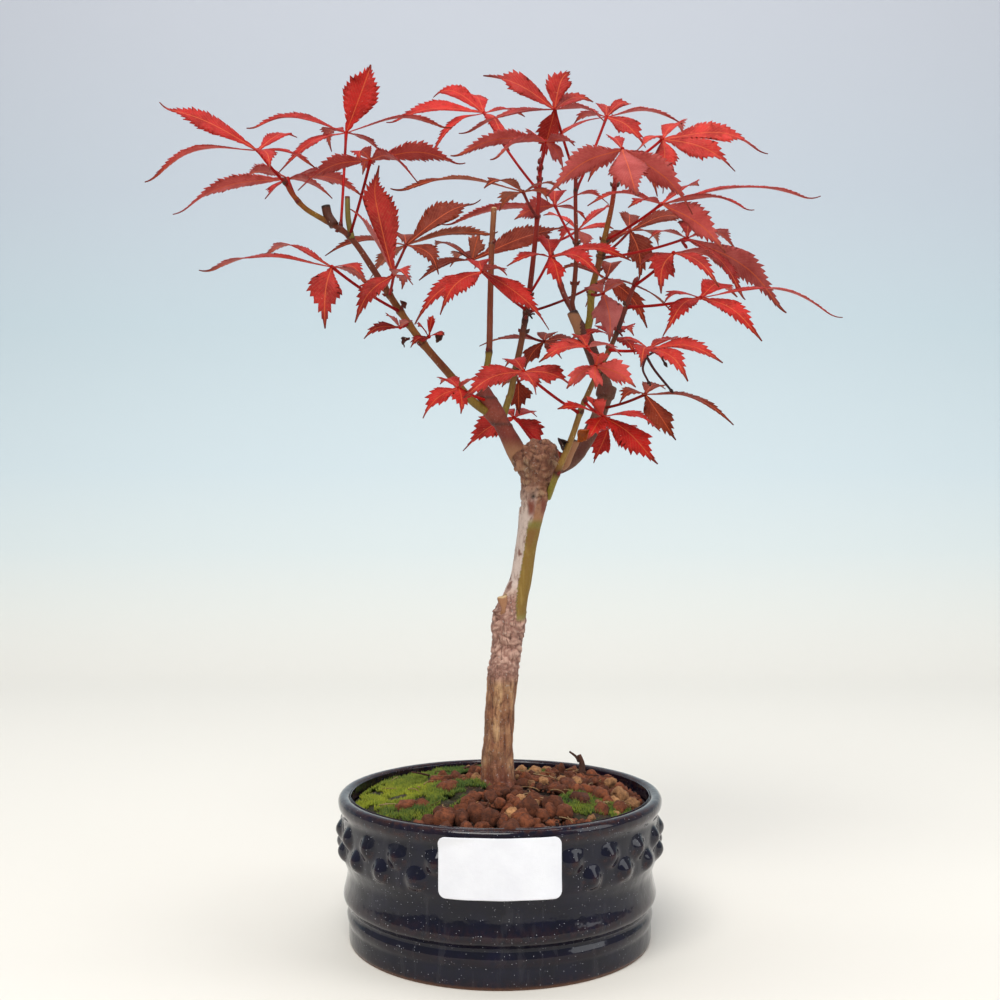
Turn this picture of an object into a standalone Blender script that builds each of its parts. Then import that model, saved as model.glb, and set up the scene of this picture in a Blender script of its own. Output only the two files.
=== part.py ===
"""Young Japanese maple grown as a small bonsai in a round glazed pot.

Units are metres, +Z is up and -Y is the front.  The origin is the centre of the
pot's base.  The tree's own tables are in millimetres above the ground at the trunk.
"""
import math

import bmesh
import bpy
import numpy as np
from mathutils import Vector

MM = 0.001

# --- pot -------------------------------------------------------------------
POT_RADIUS = 0.065          # outside of the rim
POT_HEIGHT = 0.0575
RIM_WIDTH = 0.005           # thickness of the lip
WALL_DRAFT = 0.006          # how far the inner wall leans in, rim to floor
FLOOR_THICKNESS = 0.0065
STUD_WALL_INSET = 0.0015    # the studded band stands back from the rim by this
WAIST_INSET = 0.0038
BULGE_INSET = 0.0026
GROOVE_INSET = 0.0048
FOOT_INSET = 0.0045
FOOT_RING_WIDTH = 0.006
FOOT_RECESS = 0.0025
STUDS_PER_ROW = 24
STUD_HEIGHT = 0.0024
STUD_UPPER_BELOW_RIM = 0.0130
STUD_LOWER_BELOW_RIM = 0.0197
BAND_DEPTH = 0.0233         # rim to the lower edge of the studded band
STUD_TURN = math.radians(9.0)
POT_COLUMNS = 4 * STUDS_PER_ROW
STUD_UPPER_Z = POT_HEIGHT - STUD_UPPER_BELOW_RIM
STUD_LOWER_Z = POT_HEIGHT - STUD_LOWER_BELOW_RIM
# Heights of the turned mouldings under the band, as shares of the wall there.
FOOT_BAND, RIDGE, GROOVE, BULGE_LOW, BULGE_HIGH, WAIST = 0.249, 0.310, 0.404, 0.503, 0.599, 0.819
DRAIN_RADIUS = 0.008

# --- drain mesh, label ------------------------------------------------------
MESH_SIZE = 0.024
MESH_THICKNESS = 0.001
LABEL_WIDTH = 0.044
LABEL_HEIGHT = 0.0216
LABEL_THICKNESS = 0.0005
LABEL_BELOW_RIM = 0.0022
LABEL_CORNER = 0.0028

# --- ground -----------------------------------------------------------------
SOIL_BELOW_RIM = 0.0055     # at the wall
SOIL_MOUND = 0.0070         # extra height at the trunk
MOSS_THICKNESS = 0.0038
GRAVEL_THICKNESS = 0.0034

# --- tree -------------------------------------------------------------------
TREE_HEIGHT = 0.305         # ground to the highest leaf tip
TREE_TABLE_HEIGHT = 305.0   # the same height in the tables below, in mm
TRUNK_DIAMETER = 0.0138     # just above the ground
LIMB_DIAMETER = 0.0072
SHOOT_DIAMETER = 0.0038
ROOT_DEPTH = 0.011
PETIOLE_DIAMETER = 0.0011
LEAF_THICKNESS = 0.0006
LEAF_WIDTH_FACTOR = 1.0

# --- clearances -------------------------------------------------------------
GAP = 0.0003                # between pieces that rest on each other
SOCKET_GAP = 0.0005         # root stub in the soil
PATCH_GAP = 0.0009          # between neighbouring patches of ground cover

SCALE = TREE_HEIGHT / (TREE_TABLE_HEIGHT * MM)
GROUND = POT_HEIGHT - SOIL_BELOW_RIM + SOIL_MOUND
TRUNK_FOOT = (-0.8, 0.0)    # mm, where the trunk leaves the ground

# Trunk centreline in mm above the ground, with the local girth over the base girth.
TRUNK = (
    (-0.8, 0, 0, 1.10), (-0.8, 0, 4, 1.02), (-0.8, 0, 18.5, 0.88), (0.5, 0, 37.5, 0.88),
    (1.0, 0, 44, 0.94), (2.8, 1, 56, 0.90), (3.7, 1, 68, 1.02), (6.2, 1, 76, 0.80),
    (8.7, 1, 84, 0.66), (10.3, 1, 94, 0.64), (12.0, 0, 105, 0.68), (14.0, 0, 116, 0.82),
    (15.5, 0, 125, 1.08), (16.2, 0, 131, 1.34), (16.6, 0, 137, 1.05), (16.8, 0, 140.5, 0.55),
)
LIMB_STARTS = {"left_limb": (13.0, 0, 128), "right_limb": (17.0, 0, 126)}

# Girth of each shoot at its foot and at its tip, over the named diameters.
GIRTHS = {
    "left_limb": (1.05, 0.88), "right_limb": (0.95, 0.72),
    "shoot_left": (1.15, 0.62), "shoot_pruned": (0.86, 0.74),
    "shoot_centre": (0.95, 0.55), "shoot_right_back": (0.95, 0.6),
    "shoot_right_mid": (0.72, 0.5), "shoot_right_up": (1.05, 0.55),
    "shoot_front": (0.9, 0.52),
}

# Shoot centrelines, in mm: x, y and height above the ground at the trunk.
STEMS = {
    "left_limb": (
        (9.5, 0, 131.5), (2.5, -3, 143.5), (-2.5, -5, 153), (-7.5, -6, 160),
    ),
    "right_limb": (
        (19.5, 0, 129), (26.5, 2, 131), (32.5, 4, 136.5), (38.5, 6, 146), (42.5, 8, 155.5),
        (44, 9, 162.5), (41, 10, 171), (37.5, 11, 180.5), (35, 12, 187),
    ),
    "shoot_left": (
        (-4, -6, 150.5), (-12, -7, 156.5), (-20, -8, 166), (-30, -9, 177.5), (-37, -10, 187),
        (-45, -11, 199), (-52, -12, 210), (-57.5, -12, 218), (-62.5, -13, 223), (-70.5, -14, 227.5),
        (-77, -17, 231), (-81, -21, 235), (-83.5, -25, 239),
    ),
    "shoot_pruned": (
        (-7.5, -6, 160), (-6.5, -5, 165), (-4.5, -2, 176), (-4, 2, 198), (-3.5, 4, 219),
        (-2.5, 5, 237),
    ),
    "shoot_centre": (
        (1, -3, 148.5), (3, 0, 155.5), (4.5, 2, 160), (6, 4, 168.5), (8.5, 6, 180),
        (10.5, 7, 191.5), (12.5, 6, 205), (14.5, 4, 223), (16, 2, 241), (16.5, 0, 254.5),
    ),
    "shoot_right_back": (
        (35, 13, 187.5), (31.5, 18, 196), (27.5, 24, 205), (24.5, 30, 217), (22, 36, 228.5),
        (21, 38, 233),
    ),
    "shoot_right_mid": (
        (34.5, 12, 187), (30.5, 12, 197.5), (31, 12, 204), (32, 10, 220), (31.5, 8, 238.5),
        (31.5, 6, 253),
    ),
    "shoot_right_up": (
        (35.5, 11, 184.5), (37.5, 9, 192), (38, 5, 202.5), (40.5, 0, 213), (42.5, -5, 222.5),
        (45, -10, 234.5), (46.5, -14, 248),
    ),
    "shoot_front": (
        (19.5, 0, 117), (21.5, -8, 123), (24, -10, 129.5), (28.5, -13, 140.5), (32, -16, 151),
        (36, -19, 160.5), (40, -22, 169), (43.5, -24, 176), (46.5, -26, 183.5), (49, -28, 191),
        (52, -30, 199),
    ),
}
SHOOTS = ("shoot_left", "shoot_pruned", "shoot_centre", "shoot_right_up", "shoot_right_mid",
          "shoot_right_back", "shoot_front")

# Leaves: shoot, place along it, hub in mm, then each lobe's tip from the hub in mm
# (x, y, z), its width in mm and how far its upper side looks to the front (0 is up).
LEAVES = (
    ("shoot_left", 0.99, (-92, -36, 248), (
        (-36, -8, 14, 12, 0.5), (-45, 6, -8, 10, 0.15), (9, 22, 14, 9, 0.3),
        (20, 10, -2, 9, 0.4), (10, -20, -12, 8, 0.3))),
    ("shoot_left", 0.92, (-87, 0, 248), (
        (-46, -6, -14, 11, -0.35), (-23, 20, 9, 9, -0.3), (-4, -19, -12, 10, -0.5),
        (30, 14, -2, 9, -0.2), (21, -22, -13, 8, -0.3), (14, 22, 6, 8, -0.2))),
    ("shoot_left", 0.75, (-64, 6, 269), (
        (11, -2, 29, 17, 0.9), (-40, -6, 2, 12, 0.4), (44, 6, 6, 8, 0),
        (-23, -18, -20, 12, 0.4), (13, 22, -1, 10, 0.2), (-13, 28, 5, 9, 0.2))),
    ("shoot_left", 0.71, (-50, -28, 247), (
        (-27, -6, -11, 10, -0.3), (37, -4, -3, 10, -0.35), (19, -26, -13, 9, -0.3),
        (-3, -24, -6, 8, -0.1), (-5, 20, 2, 8, -0.2))),
    ("shoot_left", 0.47, (-41, -28, 202), (
        (-9, -2, 42, 17, 0.9), (-15, -6, -16, 12, 0.5), (7, -24, -6, 8, 0.2),
        (3, 18, 0, 8, 0.2), (-16, -6, 26, 8, 0.1))),
    ("shoot_left", 0.50, (-39, 6, 222), (
        (30, 4, 21, 16, 0.8), (-33, -4, -3, 11, 0.3), (38, 2, 5, 9, 0),
        (16, -14, -13, 10, 0.4), (-16, 18, -9, 9, 0.2), (-5, 28, 10, 9, 0.2))),
    ("shoot_left", 0.40, (-64, -34, 204), (
        (-52, 4, 0, 11, 0.3), (-30, 20, 12, 9, 0.2), (-2, -6, -22, 15, 0.8),
        (14, -16, -7, 8, 0.2), (13, 14, -3, 8, 0.2))),
    ("shoot_left", 0.35, (-39, -22, 183), (
        (-14, -4, -3, 7, 0.4), (-5, -8, 4, 5, 0.3), (5, -10, 1, 5, 0.2))),
    ("shoot_left", 0.28, (-28, -18, 180), (
        (-4, -6, 4, 6, 0.5), (2, -2, 9, 4, 0.3), (6, -6, 0, 5, 0.4),
        (-7, -5, -4, 5, 0.3))),
    ("shoot_centre", 0.43, (-7, -22, 205), (
        (-27, -8, -18, 11, 0.5), (-17, -20, -17, 12, 0.6), (10, -16, -4, 8, 0.2),
        (27, -8, -22, 11, 0.5), (-2, 22, 8, 10, 0.3))),
    ("shoot_centre", 0.47, (-12, 24, 220), (
        (3, 2, 12, 11, -0.5), (44, 8, 17, 15, 0.6), (-22, -4, -9, 12, 0.5),
        (-8, 26, 6, 10, 0.2), (-19, 18, 12, 10, 0.2))),
    ("shoot_right_mid", 0.96, (22, -10, 273), (
        (-29, -6, 12, 16, 0.7), (5, 4, 18, 13, 0.8), (16, 14, 10, 10, 0.6),
        (-38, 18, -4, 11, 0.3), (19, -18, -10, 9, 0.2), (-5, 16, -16, 11, 0.7))),
    ("shoot_centre", 0.89, (-7, 36, 288), (
        (-43, -4, -5, 15, 0.5), (-25, 18, 17, 13, 0.5), (-7, 28, 18, 10, 0.3),
        (-25, -18, -24, 9, 0.1), (8, -22, -21, 9, 0.3), (18, 16, 5, 9, 0.2))),
    ("shoot_centre", 0.97, (18, -22, 256), (
        (-37, -10, -9, 9, -0.3), (-20, -28, -14, 8, -0.3), (9, -26, -9, 9, -0.3),
        (7, -8, -12, 10, -0.5), (-8, 10, 6, 8, -0.2))),
    ("shoot_right_mid", 0.87, (46, 24, 282), (
        (11, 6, 9, 13, 0.6), (32, -4, -2, 11, 0.1), (15, -10, -15, 13, 0.7),
        (-14, 8, 2, 9, 0.2), (-24, -4, -12, 9, 0.3), (5, 28, 13, 10, 0.2))),
    ("shoot_right_up", 0.88, (45, -50, 244), (
        (-28, -8, -18, 12, -0.6), (26, -6, -21, 12, -0.5), (2, -30, -25, 16, -0.9),
        (-12, 14, -6, 9, -0.3), (16, 14, -10, 9, -0.4), (-2, 18, 10, 7, 0.1))),
    ("shoot_right_up", 0.98, (67, 2, 265), (
        (29, -6, -13, 15, 0.7), (44, 6, 0, 14, 0.6), (-2, -14, -24, 12, 0.6),
        (-11, -22, -10, 8, 0.2), (14, 26, 14, 10, 0.3))),
    ("shoot_right_up", 0.55, (64, -16, 233), (
        (64, -2, 2, 12, 0.25), (33, -20, -7, 10, 0.2), (-30, -8, 0, 10, 0.2),
        (-15, -24, -7, 8, 0.3), (23, -14, -20, 14, -0.6), (20, 22, 15, 10, 0.2))),
    ("shoot_right_up", 0.46, (56, 26, 233), (
        (31, 4, 6, 12, 0.4), (5, -4, -21, 15, 0.7), (2, 22, 14, 9, -0.3),
        (-13, 2, -7, 10, 0.4), (18, 24, 1, 10, 0.3))),
    ("shoot_centre", 0.49, (20, -16, 212), (
        (3, -12, -14, 11, 0.5), (-16, -16, -6, 9, 0.4), (31, -6, -1, 10, 0.3),
        (17, -20, -10, 10, 0.4), (-2, 20, 13, 9, 0.3))),
    ("shoot_centre", 0.42, (47, 38, 215), (
        (18, -6, -20, 13, 0.6), (32, 6, -14, 10, 0.3), (-21, 6, 7, 10, 0.3),
        (4, 26, 12, 10, 0.2), (-9, -14, -13, 9, 0.4))),
    ("shoot_right_up", 0.20, (41, -14, 198), (
        (3, -4, -18, 16, -0.95), (-8, -12, 0, 8, -0.3), (8, -8, 3, 8, -0.3))),
    ("shoot_centre", 0.79, (9, -26, 235), (
        (-51, -6, -1, 10, 0.1), (10, -10, -5, 10, 0.4), (-16, -22, -3, 9, 0.2),
        (-9, 14, -2, 9, 0.1), (15, 8, 5, 9, 0.2))),
    ("shoot_right_mid", 0.53, (24, 30, 245), (
        (-50, 4, -7, 10, -0.2), (-18, -16, -10, 10, -0.6), (13, -12, -8, 10, -0.3),
        (3, 26, 13, 10, 0.1), (25, 18, 9, 9, 0.1))),
    ("shoot_right_back", 0.93, (36, 60, 242), (
        (17, 10, 15, 9, 0.2), (16, -6, 0, 9, 0.3), (-15, 14, 12, 9, 0.2),
        (-9, -14, -8, 9, 0.3), (7, 20, -5, 9, 0.3))),
    ("shoot_right_up", 0.44, (79, 14, 227), (
        (41, -8, -29, 15, -0.6), (21, -22, -30, 10, 0.1), (-18, -14, -2, 8, 0.1),
        (24, 26, 5, 11, 0.3), (5, 30, 14, 9, 0.2))),
    ("shoot_front", 0.98, (64, -48, 206), (
        (-7, -8, -14, 13, 0.7), (14, -14, -13, 9, 0.2), (19, 10, -1, 9, 0.2),
        (-11, 14, -1, 8, 0.2))),
    ("shoot_front", 0.88, (77, -30, 193), (
        (-17, -12, -3, 9, 0.3), (17, 24, 9, 12, 0.5), (58, 8, -4, 11, 0.2),
        (20, -12, -16, 11, 0.4), (-16, -20, -15, 10, 0.4))),
    ("shoot_front", 0.67, (55, -46, 171), (
        (26, -6, -4, 12, 0.5), (13, -16, -11, 11, 0.5), (-5, -22, -8, 9, 0.4),
        (-10, 8, 5, 8, 0.3), (14, 20, 6, 9, 0.3))),
    ("right_limb", 0.75, (47, 2, 183), (
        (-14, -10, 0, 8, 0.1), (10, 22, 7, 8, 0.1), (7, -14, -8, 8, 0.3),
        (-4, 20, 8, 8, 0.2))),
    ("shoot_front", 0.60, (33, -36, 173), (
        (-18, -6, -5, 10, 0.3), (-14, 16, 3, 9, 0.2), (12, -12, -3, 9, 0.3),
        (-4, 14, 7, 8, 0.2))),
    ("shoot_front", 0.54, (35, -50, 164), (
        (-11, -6, -8, 11, -0.5), (-1, -14, -9, 12, -0.8), (14, -6, -7, 11, -0.5),
        (0, -12, 3, 8, -0.2))),
    ("right_limb", 0.53, (58, -11, 158), (
        (-12, -14, -3, 9, 0.3), (34, -6, -10, 10, 0.3), (11, -6, -18, 14, 0.7),
        (11, 24, 6, 9, 0.3))),
    ("shoot_front", 0.41, (39, -34, 147), (
        (-18, -8, 3, 9, 0.2), (-5, -14, 6, 8, 0.4), (20, -12, -4, 9, 0.2),
        (19, -4, -18, 16, 0.8), (-6, -12, -9, 10, 0.5))),
    ("right_limb", 0.41, (47, 30, 148), (
        (-7, -6, -15, 13, 0.6), (15, 16, 0, 9, 0.3), (-2, 24, 6, 8, 0.3))),
    ("shoot_front", 0.35, (9, -34, 164), (
        (-22, -8, -10, 14, 0.6), (18, -4, -5, 14, 0.6), (-6, 20, 7, 9, 0.2),
        (5, -16, -9, 9, 0.4))),
    ("shoot_centre", 0.34, (19, 26, 185), (
        (-28, 6, 0, 9, 0.2), (-9, -4, -12, 14, 0.6), (6, -10, -8, 9, 0.4),
        (5, 22, 6, 9, 0.2), (20, 14, 0, 10, 0.3))),
    ("shoot_centre", 0.18, (8, 20, 167), (
        (0, -2, -13, 14, 0.7), (-8, 10, 0, 8, 0.3), (9, 14, 3, 8, 0.3))),
    ("left_limb", 0.86, (-16, -24, 159), (
        (-14, -6, -10, 12, 0.5), (2, -12, -10, 9, 0.5), (6, -12, 2, 8, 0.3),
        (-8, 14, 5, 9, 0.3))),
    ("right_limb", 0.16, (6, 24, 152), (
        (-21, -6, -13, 14, 0.6), (13, -4, -14, 16, 0.7), (-6, 16, 5, 9, 0.3),
        (9, 18, 4, 9, 0.3))),
)


# --- scene and materials ------------------------------------------------------
def clear_scene():
    for item in list(bpy.data.objects):
        bpy.data.objects.remove(item, do_unlink=True)


def material(name, colour, roughness, metallic=0.0):
    found = bpy.data.materials.get(name)
    if found:
        return found
    made = bpy.data.materials.new(name)
    made.use_nodes = True
    shader = made.node_tree.nodes["Principled BSDF"]
    shader.inputs["Base Color"].default_value = (*colour, 1.0)
    shader.inputs["Roughness"].default_value = roughness
    shader.inputs["Metallic"].default_value = metallic
    return made


def glaze():
    return material("navy_glaze", (0.010, 0.012, 0.026), 0.14)


def soil_earth():
    return material("soil", (0.09, 0.045, 0.025), 0.95)


def moss_green():
    return material("moss", (0.20, 0.30, 0.035), 0.95)


def akadama():
    return material("akadama", (0.30, 0.12, 0.055), 0.9)


def bark():
    return material("bark", (0.20, 0.13, 0.095), 0.85)


def shoot_bark():
    return material("shoot_bark", (0.21, 0.10, 0.05), 0.6)


def leaf_red():
    return material("leaf_red", (0.52, 0.020, 0.020), 0.5)


def leaf_brown():
    return material("leaf_brown", (0.30, 0.055, 0.025), 0.55)


def paper_white():
    return material("label_paper", (0.85, 0.86, 0.88), 0.45)


def mesh_plastic():
    return material("mesh_plastic", (0.02, 0.02, 0.02), 0.5)


def finish(name, bm, stuff, smooth=True, closed=True):
    """Turn a bmesh into a named object with outward normals and one material."""
    if closed:
        bmesh.ops.recalc_face_normals(bm, faces=bm.faces)
    mesh = bpy.data.meshes.new(name)
    bm.to_mesh(mesh)
    bm.free()
    mesh.materials.append(stuff)
    if smooth:
        mesh.shade_smooth()
        mesh.set_sharp_from_angle(angle=math.radians(40))
    made = bpy.data.objects.new(name, mesh)
    bpy.context.scene.collection.objects.link(made)
    return made


def bridge_rings(bm, rings, closed_ends=True):
    """Join a list of equal rings of vertices into a skin, with a fan at each end."""
    count = len(rings[0])
    for low, high in zip(rings, rings[1:]):
        for i in range(count):
            j = (i + 1) % count
            bm.faces.new((low[i], low[j], high[j], high[i]))
    if closed_ends:
        bm.faces.new(list(reversed(rings[0])))
        bm.faces.new(rings[-1])


# --- pot ------------------------------------------------------------------------
def inner_radius(z):
    return POT_RADIUS - RIM_WIDTH - WALL_DRAFT * (1.0 - z / POT_HEIGHT)


def pot_profile():
    """Outline from the drain hole's lower edge, out, up the wall and down inside."""
    outer = POT_RADIUS
    wall = outer - STUD_WALL_INSET
    top = POT_HEIGHT
    foot = outer - FOOT_INSET
    ring = foot - FOOT_RING_WIDTH
    band = top - BAND_DEPTH
    return (
        (DRAIN_RADIUS, FOOT_RECESS), (ring - 0.001, FOOT_RECESS), (ring, 0.0),
        (foot - 0.0008, 0.0), (foot, FOOT_BAND * band),
        (outer - BULGE_INSET - 0.0012, RIDGE * band),
        (outer - GROOVE_INSET, GROOVE * band), (outer - BULGE_INSET, BULGE_LOW * band),
        (outer - BULGE_INSET, BULGE_HIGH * band), (outer - WAIST_INSET, WAIST * band),
        (wall, band), (wall, STUD_LOWER_Z),
        (wall, 0.5 * (STUD_LOWER_Z + STUD_UPPER_Z)), (wall, STUD_UPPER_Z),
        (wall, STUD_UPPER_Z + 0.0036), (outer - 0.0002, top - 0.0045),
        (outer, top - 0.0016), (outer - 0.0016, top), (outer - RIM_WIDTH + 0.0014, top),
        (inner_radius(top - 0.0016), top - 0.0016),
        (inner_radius(FLOOR_THICKNESS + 0.003), FLOOR_THICKNESS + 0.003),
        (inner_radius(FLOOR_THICKNESS) - 0.0028, FLOOR_THICKNESS),
        (DRAIN_RADIUS, FLOOR_THICKNESS),
    )


def stud_at(column, z):
    """Height of the raised stud on this column of the wall, in metres."""
    place = column % 4
    if abs(z - STUD_UPPER_Z) < 1e-6 and place == 0:
        return STUD_HEIGHT
    if abs(z - STUD_LOWER_Z) < 1e-6 and place == 2:
        return STUD_HEIGHT
    return 0.0


def make_pot():
    bm = bmesh.new()
    columns = []
    for column in range(POT_COLUMNS):
        turn = -math.pi / 2 + STUD_TURN + 2 * math.pi * column / POT_COLUMNS
        line = []
        for radius, z in pot_profile():
            if radius > POT_RADIUS - 0.01:
                radius += stud_at(column, z)
            line.append(bm.verts.new((radius * math.cos(turn), radius * math.sin(turn), z)))
        columns.append(line)
    for column in range(POT_COLUMNS):
        here, there = columns[column], columns[(column + 1) % POT_COLUMNS]
        for k in range(len(here)):
            m = (k + 1) % len(here)
            bm.faces.new((here[k], there[k], there[m], here[m]))
    return finish("pot", bm, glaze())


def make_drain_mesh():
    """Square plastic mesh over the drain hole: a plate with nine square holes."""
    cells = 7
    bm = bmesh.new()
    step = MESH_SIZE / cells
    grid = [[bm.verts.new((i * step - MESH_SIZE / 2, j * step - MESH_SIZE / 2, 0.0))
             for j in range(cells + 1)] for i in range(cells + 1)]
    for i in range(cells):
        for j in range(cells):
            if i % 2 == 1 and j % 2 == 1:
                continue
            bm.faces.new((grid[i][j], grid[i + 1][j], grid[i + 1][j + 1], grid[i][j + 1]))
    made = finish("drain_mesh", bm, mesh_plastic(), smooth=False, closed=False)
    solid = made.modifiers.new("thickness", "SOLIDIFY")
    solid.thickness = MESH_THICKNESS
    solid.offset = 1.0
    made.location.z = FLOOR_THICKNESS + GAP
    return made


def make_label():
    """Blank sticker wrapped round the front of the wall."""
    radius = POT_RADIUS - STUD_WALL_INSET + STUD_HEIGHT + GAP
    top = POT_HEIGHT - LABEL_BELOW_RIM
    half_w, half_h = LABEL_WIDTH / 2, LABEL_HEIGHT / 2
    corner = min(LABEL_CORNER, half_w / 2, half_h / 2)
    stations = [-half_w, -half_w + corner * 0.3, -half_w + corner]
    across = 8
    stations += [-half_w + corner + (LABEL_WIDTH - 2 * corner) * k / across for k in range(1, across)]
    stations += [half_w - corner, half_w - corner * 0.3, half_w]
    bm = bmesh.new()
    rings = []
    for s in stations:
        inset = max(0.0, abs(s) - (half_w - corner))
        drop = corner - math.sqrt(max(corner ** 2 - inset ** 2, 0.0))
        turn = -math.pi / 2 + s / radius
        ring = []
        outer = radius + LABEL_THICKNESS
        low, high = top - LABEL_HEIGHT + drop, top - drop
        for r, z in ((radius, low), (outer, low), (outer, high), (radius, high)):
            ring.append(bm.verts.new((r * math.cos(turn), r * math.sin(turn), z)))
        rings.append(ring)
    bridge_rings(bm, rings)
    return finish("label", bm, paper_white(), smooth=False)


# --- ground -----------------------------------------------------------------------
def soil_top(x, y):
    reach = min(math.hypot(x, y) / inner_radius(POT_HEIGHT), 1.0)
    return POT_HEIGHT - SOIL_BELOW_RIM + SOIL_MOUND * (1.0 - reach ** 1.6)


def foot_radius():
    return 0.5 * TRUNK_DIAMETER * TRUNK[0][3]


def make_soil():
    """Root ball of soil, with a blind socket for the buried end of the trunk."""
    floor = FLOOR_THICKNESS + 2 * GAP + MESH_THICKNESS
    fx, fy = TRUNK_FOOT[0] * MM, TRUNK_FOOT[1] * MM
    socket = foot_radius() + SOCKET_GAP
    depth = GROUND - ROOT_DEPTH - SOCKET_GAP - GAP
    segments = 36
    bm = bmesh.new()
    rings = []
    low = inner_radius(floor + 0.003) - GAP - 0.0006
    profile = [("disc", low * 0.4, floor), ("disc", low - 0.0034, floor),
               ("disc", inner_radius(floor + 0.004) - 2 * GAP, floor + 0.004)]
    edge = POT_HEIGHT - SOIL_BELOW_RIM
    profile.append(("disc", inner_radius(edge) - 2 * GAP, edge - 0.0006))
    rings = []
    for kind, radius, z in profile:
        rings.append([bm.verts.new((radius * math.cos(2 * math.pi * i / segments),
                                    radius * math.sin(2 * math.pi * i / segments), z))
                      for i in range(segments)])
    outer = inner_radius(edge) - 2 * GAP - 0.0012
    for share in (1.0, 0.8, 0.6, 0.4, 0.2, 0.0):
        ring = []
        for i in range(segments):
            turn = 2 * math.pi * i / segments
            x = (1 - share) * (fx + socket * math.cos(turn)) + share * outer * math.cos(turn)
            y = (1 - share) * (fy + socket * math.sin(turn)) + share * outer * math.sin(turn)
            ring.append(bm.verts.new((x, y, soil_top(x, y))))
        rings.append(ring)
    rings.append([bm.verts.new((fx + socket * math.cos(2 * math.pi * i / segments),
                                fy + socket * math.sin(2 * math.pi * i / segments), depth))
                  for i in range(segments)])
    bridge_rings(bm, rings)
    return finish("soil", bm, soil_earth())


def make_patch(name, turns, radii, thickness, rows, columns, bumps, stuff):
    """A cushion of ground cover lying on the soil between two turns and two radii."""
    first, last = (math.radians(v) for v in turns)
    inner, outer = radii
    bm = bmesh.new()
    top, bottom = [], []
    for i in range(columns + 1):
        u = i / columns
        line_top, line_bottom = [], []
        for j in range(rows + 1):
            v = j / rows
            radius = inner + (outer - inner) * v
            trim = PATCH_GAP / max(radius, 0.004)
            turn = first + trim + (last - first - 2 * trim) * u
            x, y = radius * math.cos(turn), radius * math.sin(turn)
            base = soil_top(x, y) + GAP
            edge = min(u, 1 - u, v, 1 - v)
            rise = 0.0007 + thickness * min(1.0, 4.0 * edge) ** 0.6
            rise += bumps * math.sin(900 * x + 2.0 * i) * math.cos(800 * y + 1.7 * j) * (edge > 0)
            line_bottom.append(bm.verts.new((x, y, base)))
            line_top.append(bm.verts.new((x, y, base + max(rise, 0.0006))))
        top.append(line_top)
        bottom.append(line_bottom)
    for i in range(columns):
        for j in range(rows):
            bm.faces.new((top[i][j], top[i + 1][j], top[i + 1][j + 1], top[i][j + 1]))
            bm.faces.new((bottom[i][j + 1], bottom[i + 1][j + 1], bottom[i + 1][j], bottom[i][j]))
    for i in range(columns):
        for j in (0, rows):
            bm.faces.new((top[i][j], top[i + 1][j], bottom[i + 1][j], bottom[i][j]))
    for j in range(rows):
        for i in (0, columns):
            bm.faces.new((top[i][j], top[i][j + 1], bottom[i][j + 1], bottom[i][j]))
    return finish(name, bm, stuff)


def make_ground_cover():
    near = foot_radius() + abs(TRUNK_FOOT[0]) * MM + SOCKET_GAP + 0.0012
    middle = near + 0.022
    wall = inner_radius(POT_HEIGHT - SOIL_BELOW_RIM) - 0.002
    moss = (MOSS_THICKNESS, 4, 10, 0.0005, moss_green())
    grit = (GRAVEL_THICKNESS, 6, 14, 0.0009, akadama())
    make_patch("moss_left", (168, 238), (middle - 0.006, wall), *moss)
    make_patch("moss_trunk", (168, 238), (near, middle - 0.006 - PATCH_GAP), *moss)
    make_patch("moss_back", (60, 168), (middle, wall), *moss)
    make_patch("moss_front", (306, 336), (middle, wall), *moss)
    make_patch("gravel_back", (60, 168), (near, middle - PATCH_GAP), *grit)
    make_patch("gravel_front", (238, 306), (near, wall), *grit)
    make_patch("gravel_right", (336, 420), (near, wall), *grit)


# --- wood ---------------------------------------------------------------------------
def to_world(point):
    return Vector((point[0] * MM * SCALE, point[1] * MM * SCALE, GROUND + point[2] * MM * SCALE))


def smooth_path(points, per_span):
    """Points on a Catmull-Rom curve through the given ones."""
    ends = [points[0] * 2 - points[1]] + list(points) + [points[-1] * 2 - points[-2]]
    path = []
    for a, b, c, d in zip(ends, ends[1:], ends[2:], ends[3:]):
        for k in range(per_span):
            t = k / per_span
            path.append(0.5 * (2 * b + (c - a) * t + (2 * a - 5 * b + 4 * c - d) * t * t
                               + (3 * b - a - 3 * c + d) * t ** 3))
    path.append(points[-1])
    return path


def tangents(path):
    found = []
    for i in range(len(path)):
        ahead = path[min(i + 1, len(path) - 1)]
        behind = path[max(i - 1, 0)]
        found.append((ahead - behind).normalized())
    return found


def side_vectors(path):
    """A pair of vectors across the path at each point, carried along without twist."""
    along = tangents(path)
    side = along[0].orthogonal().normalized()
    pairs = []
    for direction in along:
        side = (side - direction * side.dot(direction)).normalized()
        pairs.append((side, direction.cross(side)))
    return pairs


def ring_points(centre, pair, radius, sides):
    return [centre + radius * (math.cos(2 * math.pi * k / sides) * pair[0]
                               + math.sin(2 * math.pi * k / sides) * pair[1]) for k in range(sides)]


def tube(path, radii, sides, lumps=0.0):
    bm = bmesh.new()
    rings = []
    for index, (centre, pair, radius) in enumerate(zip(path, side_vectors(path), radii)):
        ring = ring_points(centre, pair, 1.0, sides)
        line = []
        for k, spot in enumerate(ring):
            swell = 1.0 + lumps * math.sin(2.1 * k + 0.9 * index) * math.sin(1.3 * index)
            line.append(bm.verts.new(centre + (spot - centre) * radius * swell))
        rings.append(line)
    bridge_rings(bm, rings)
    return bm


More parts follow.
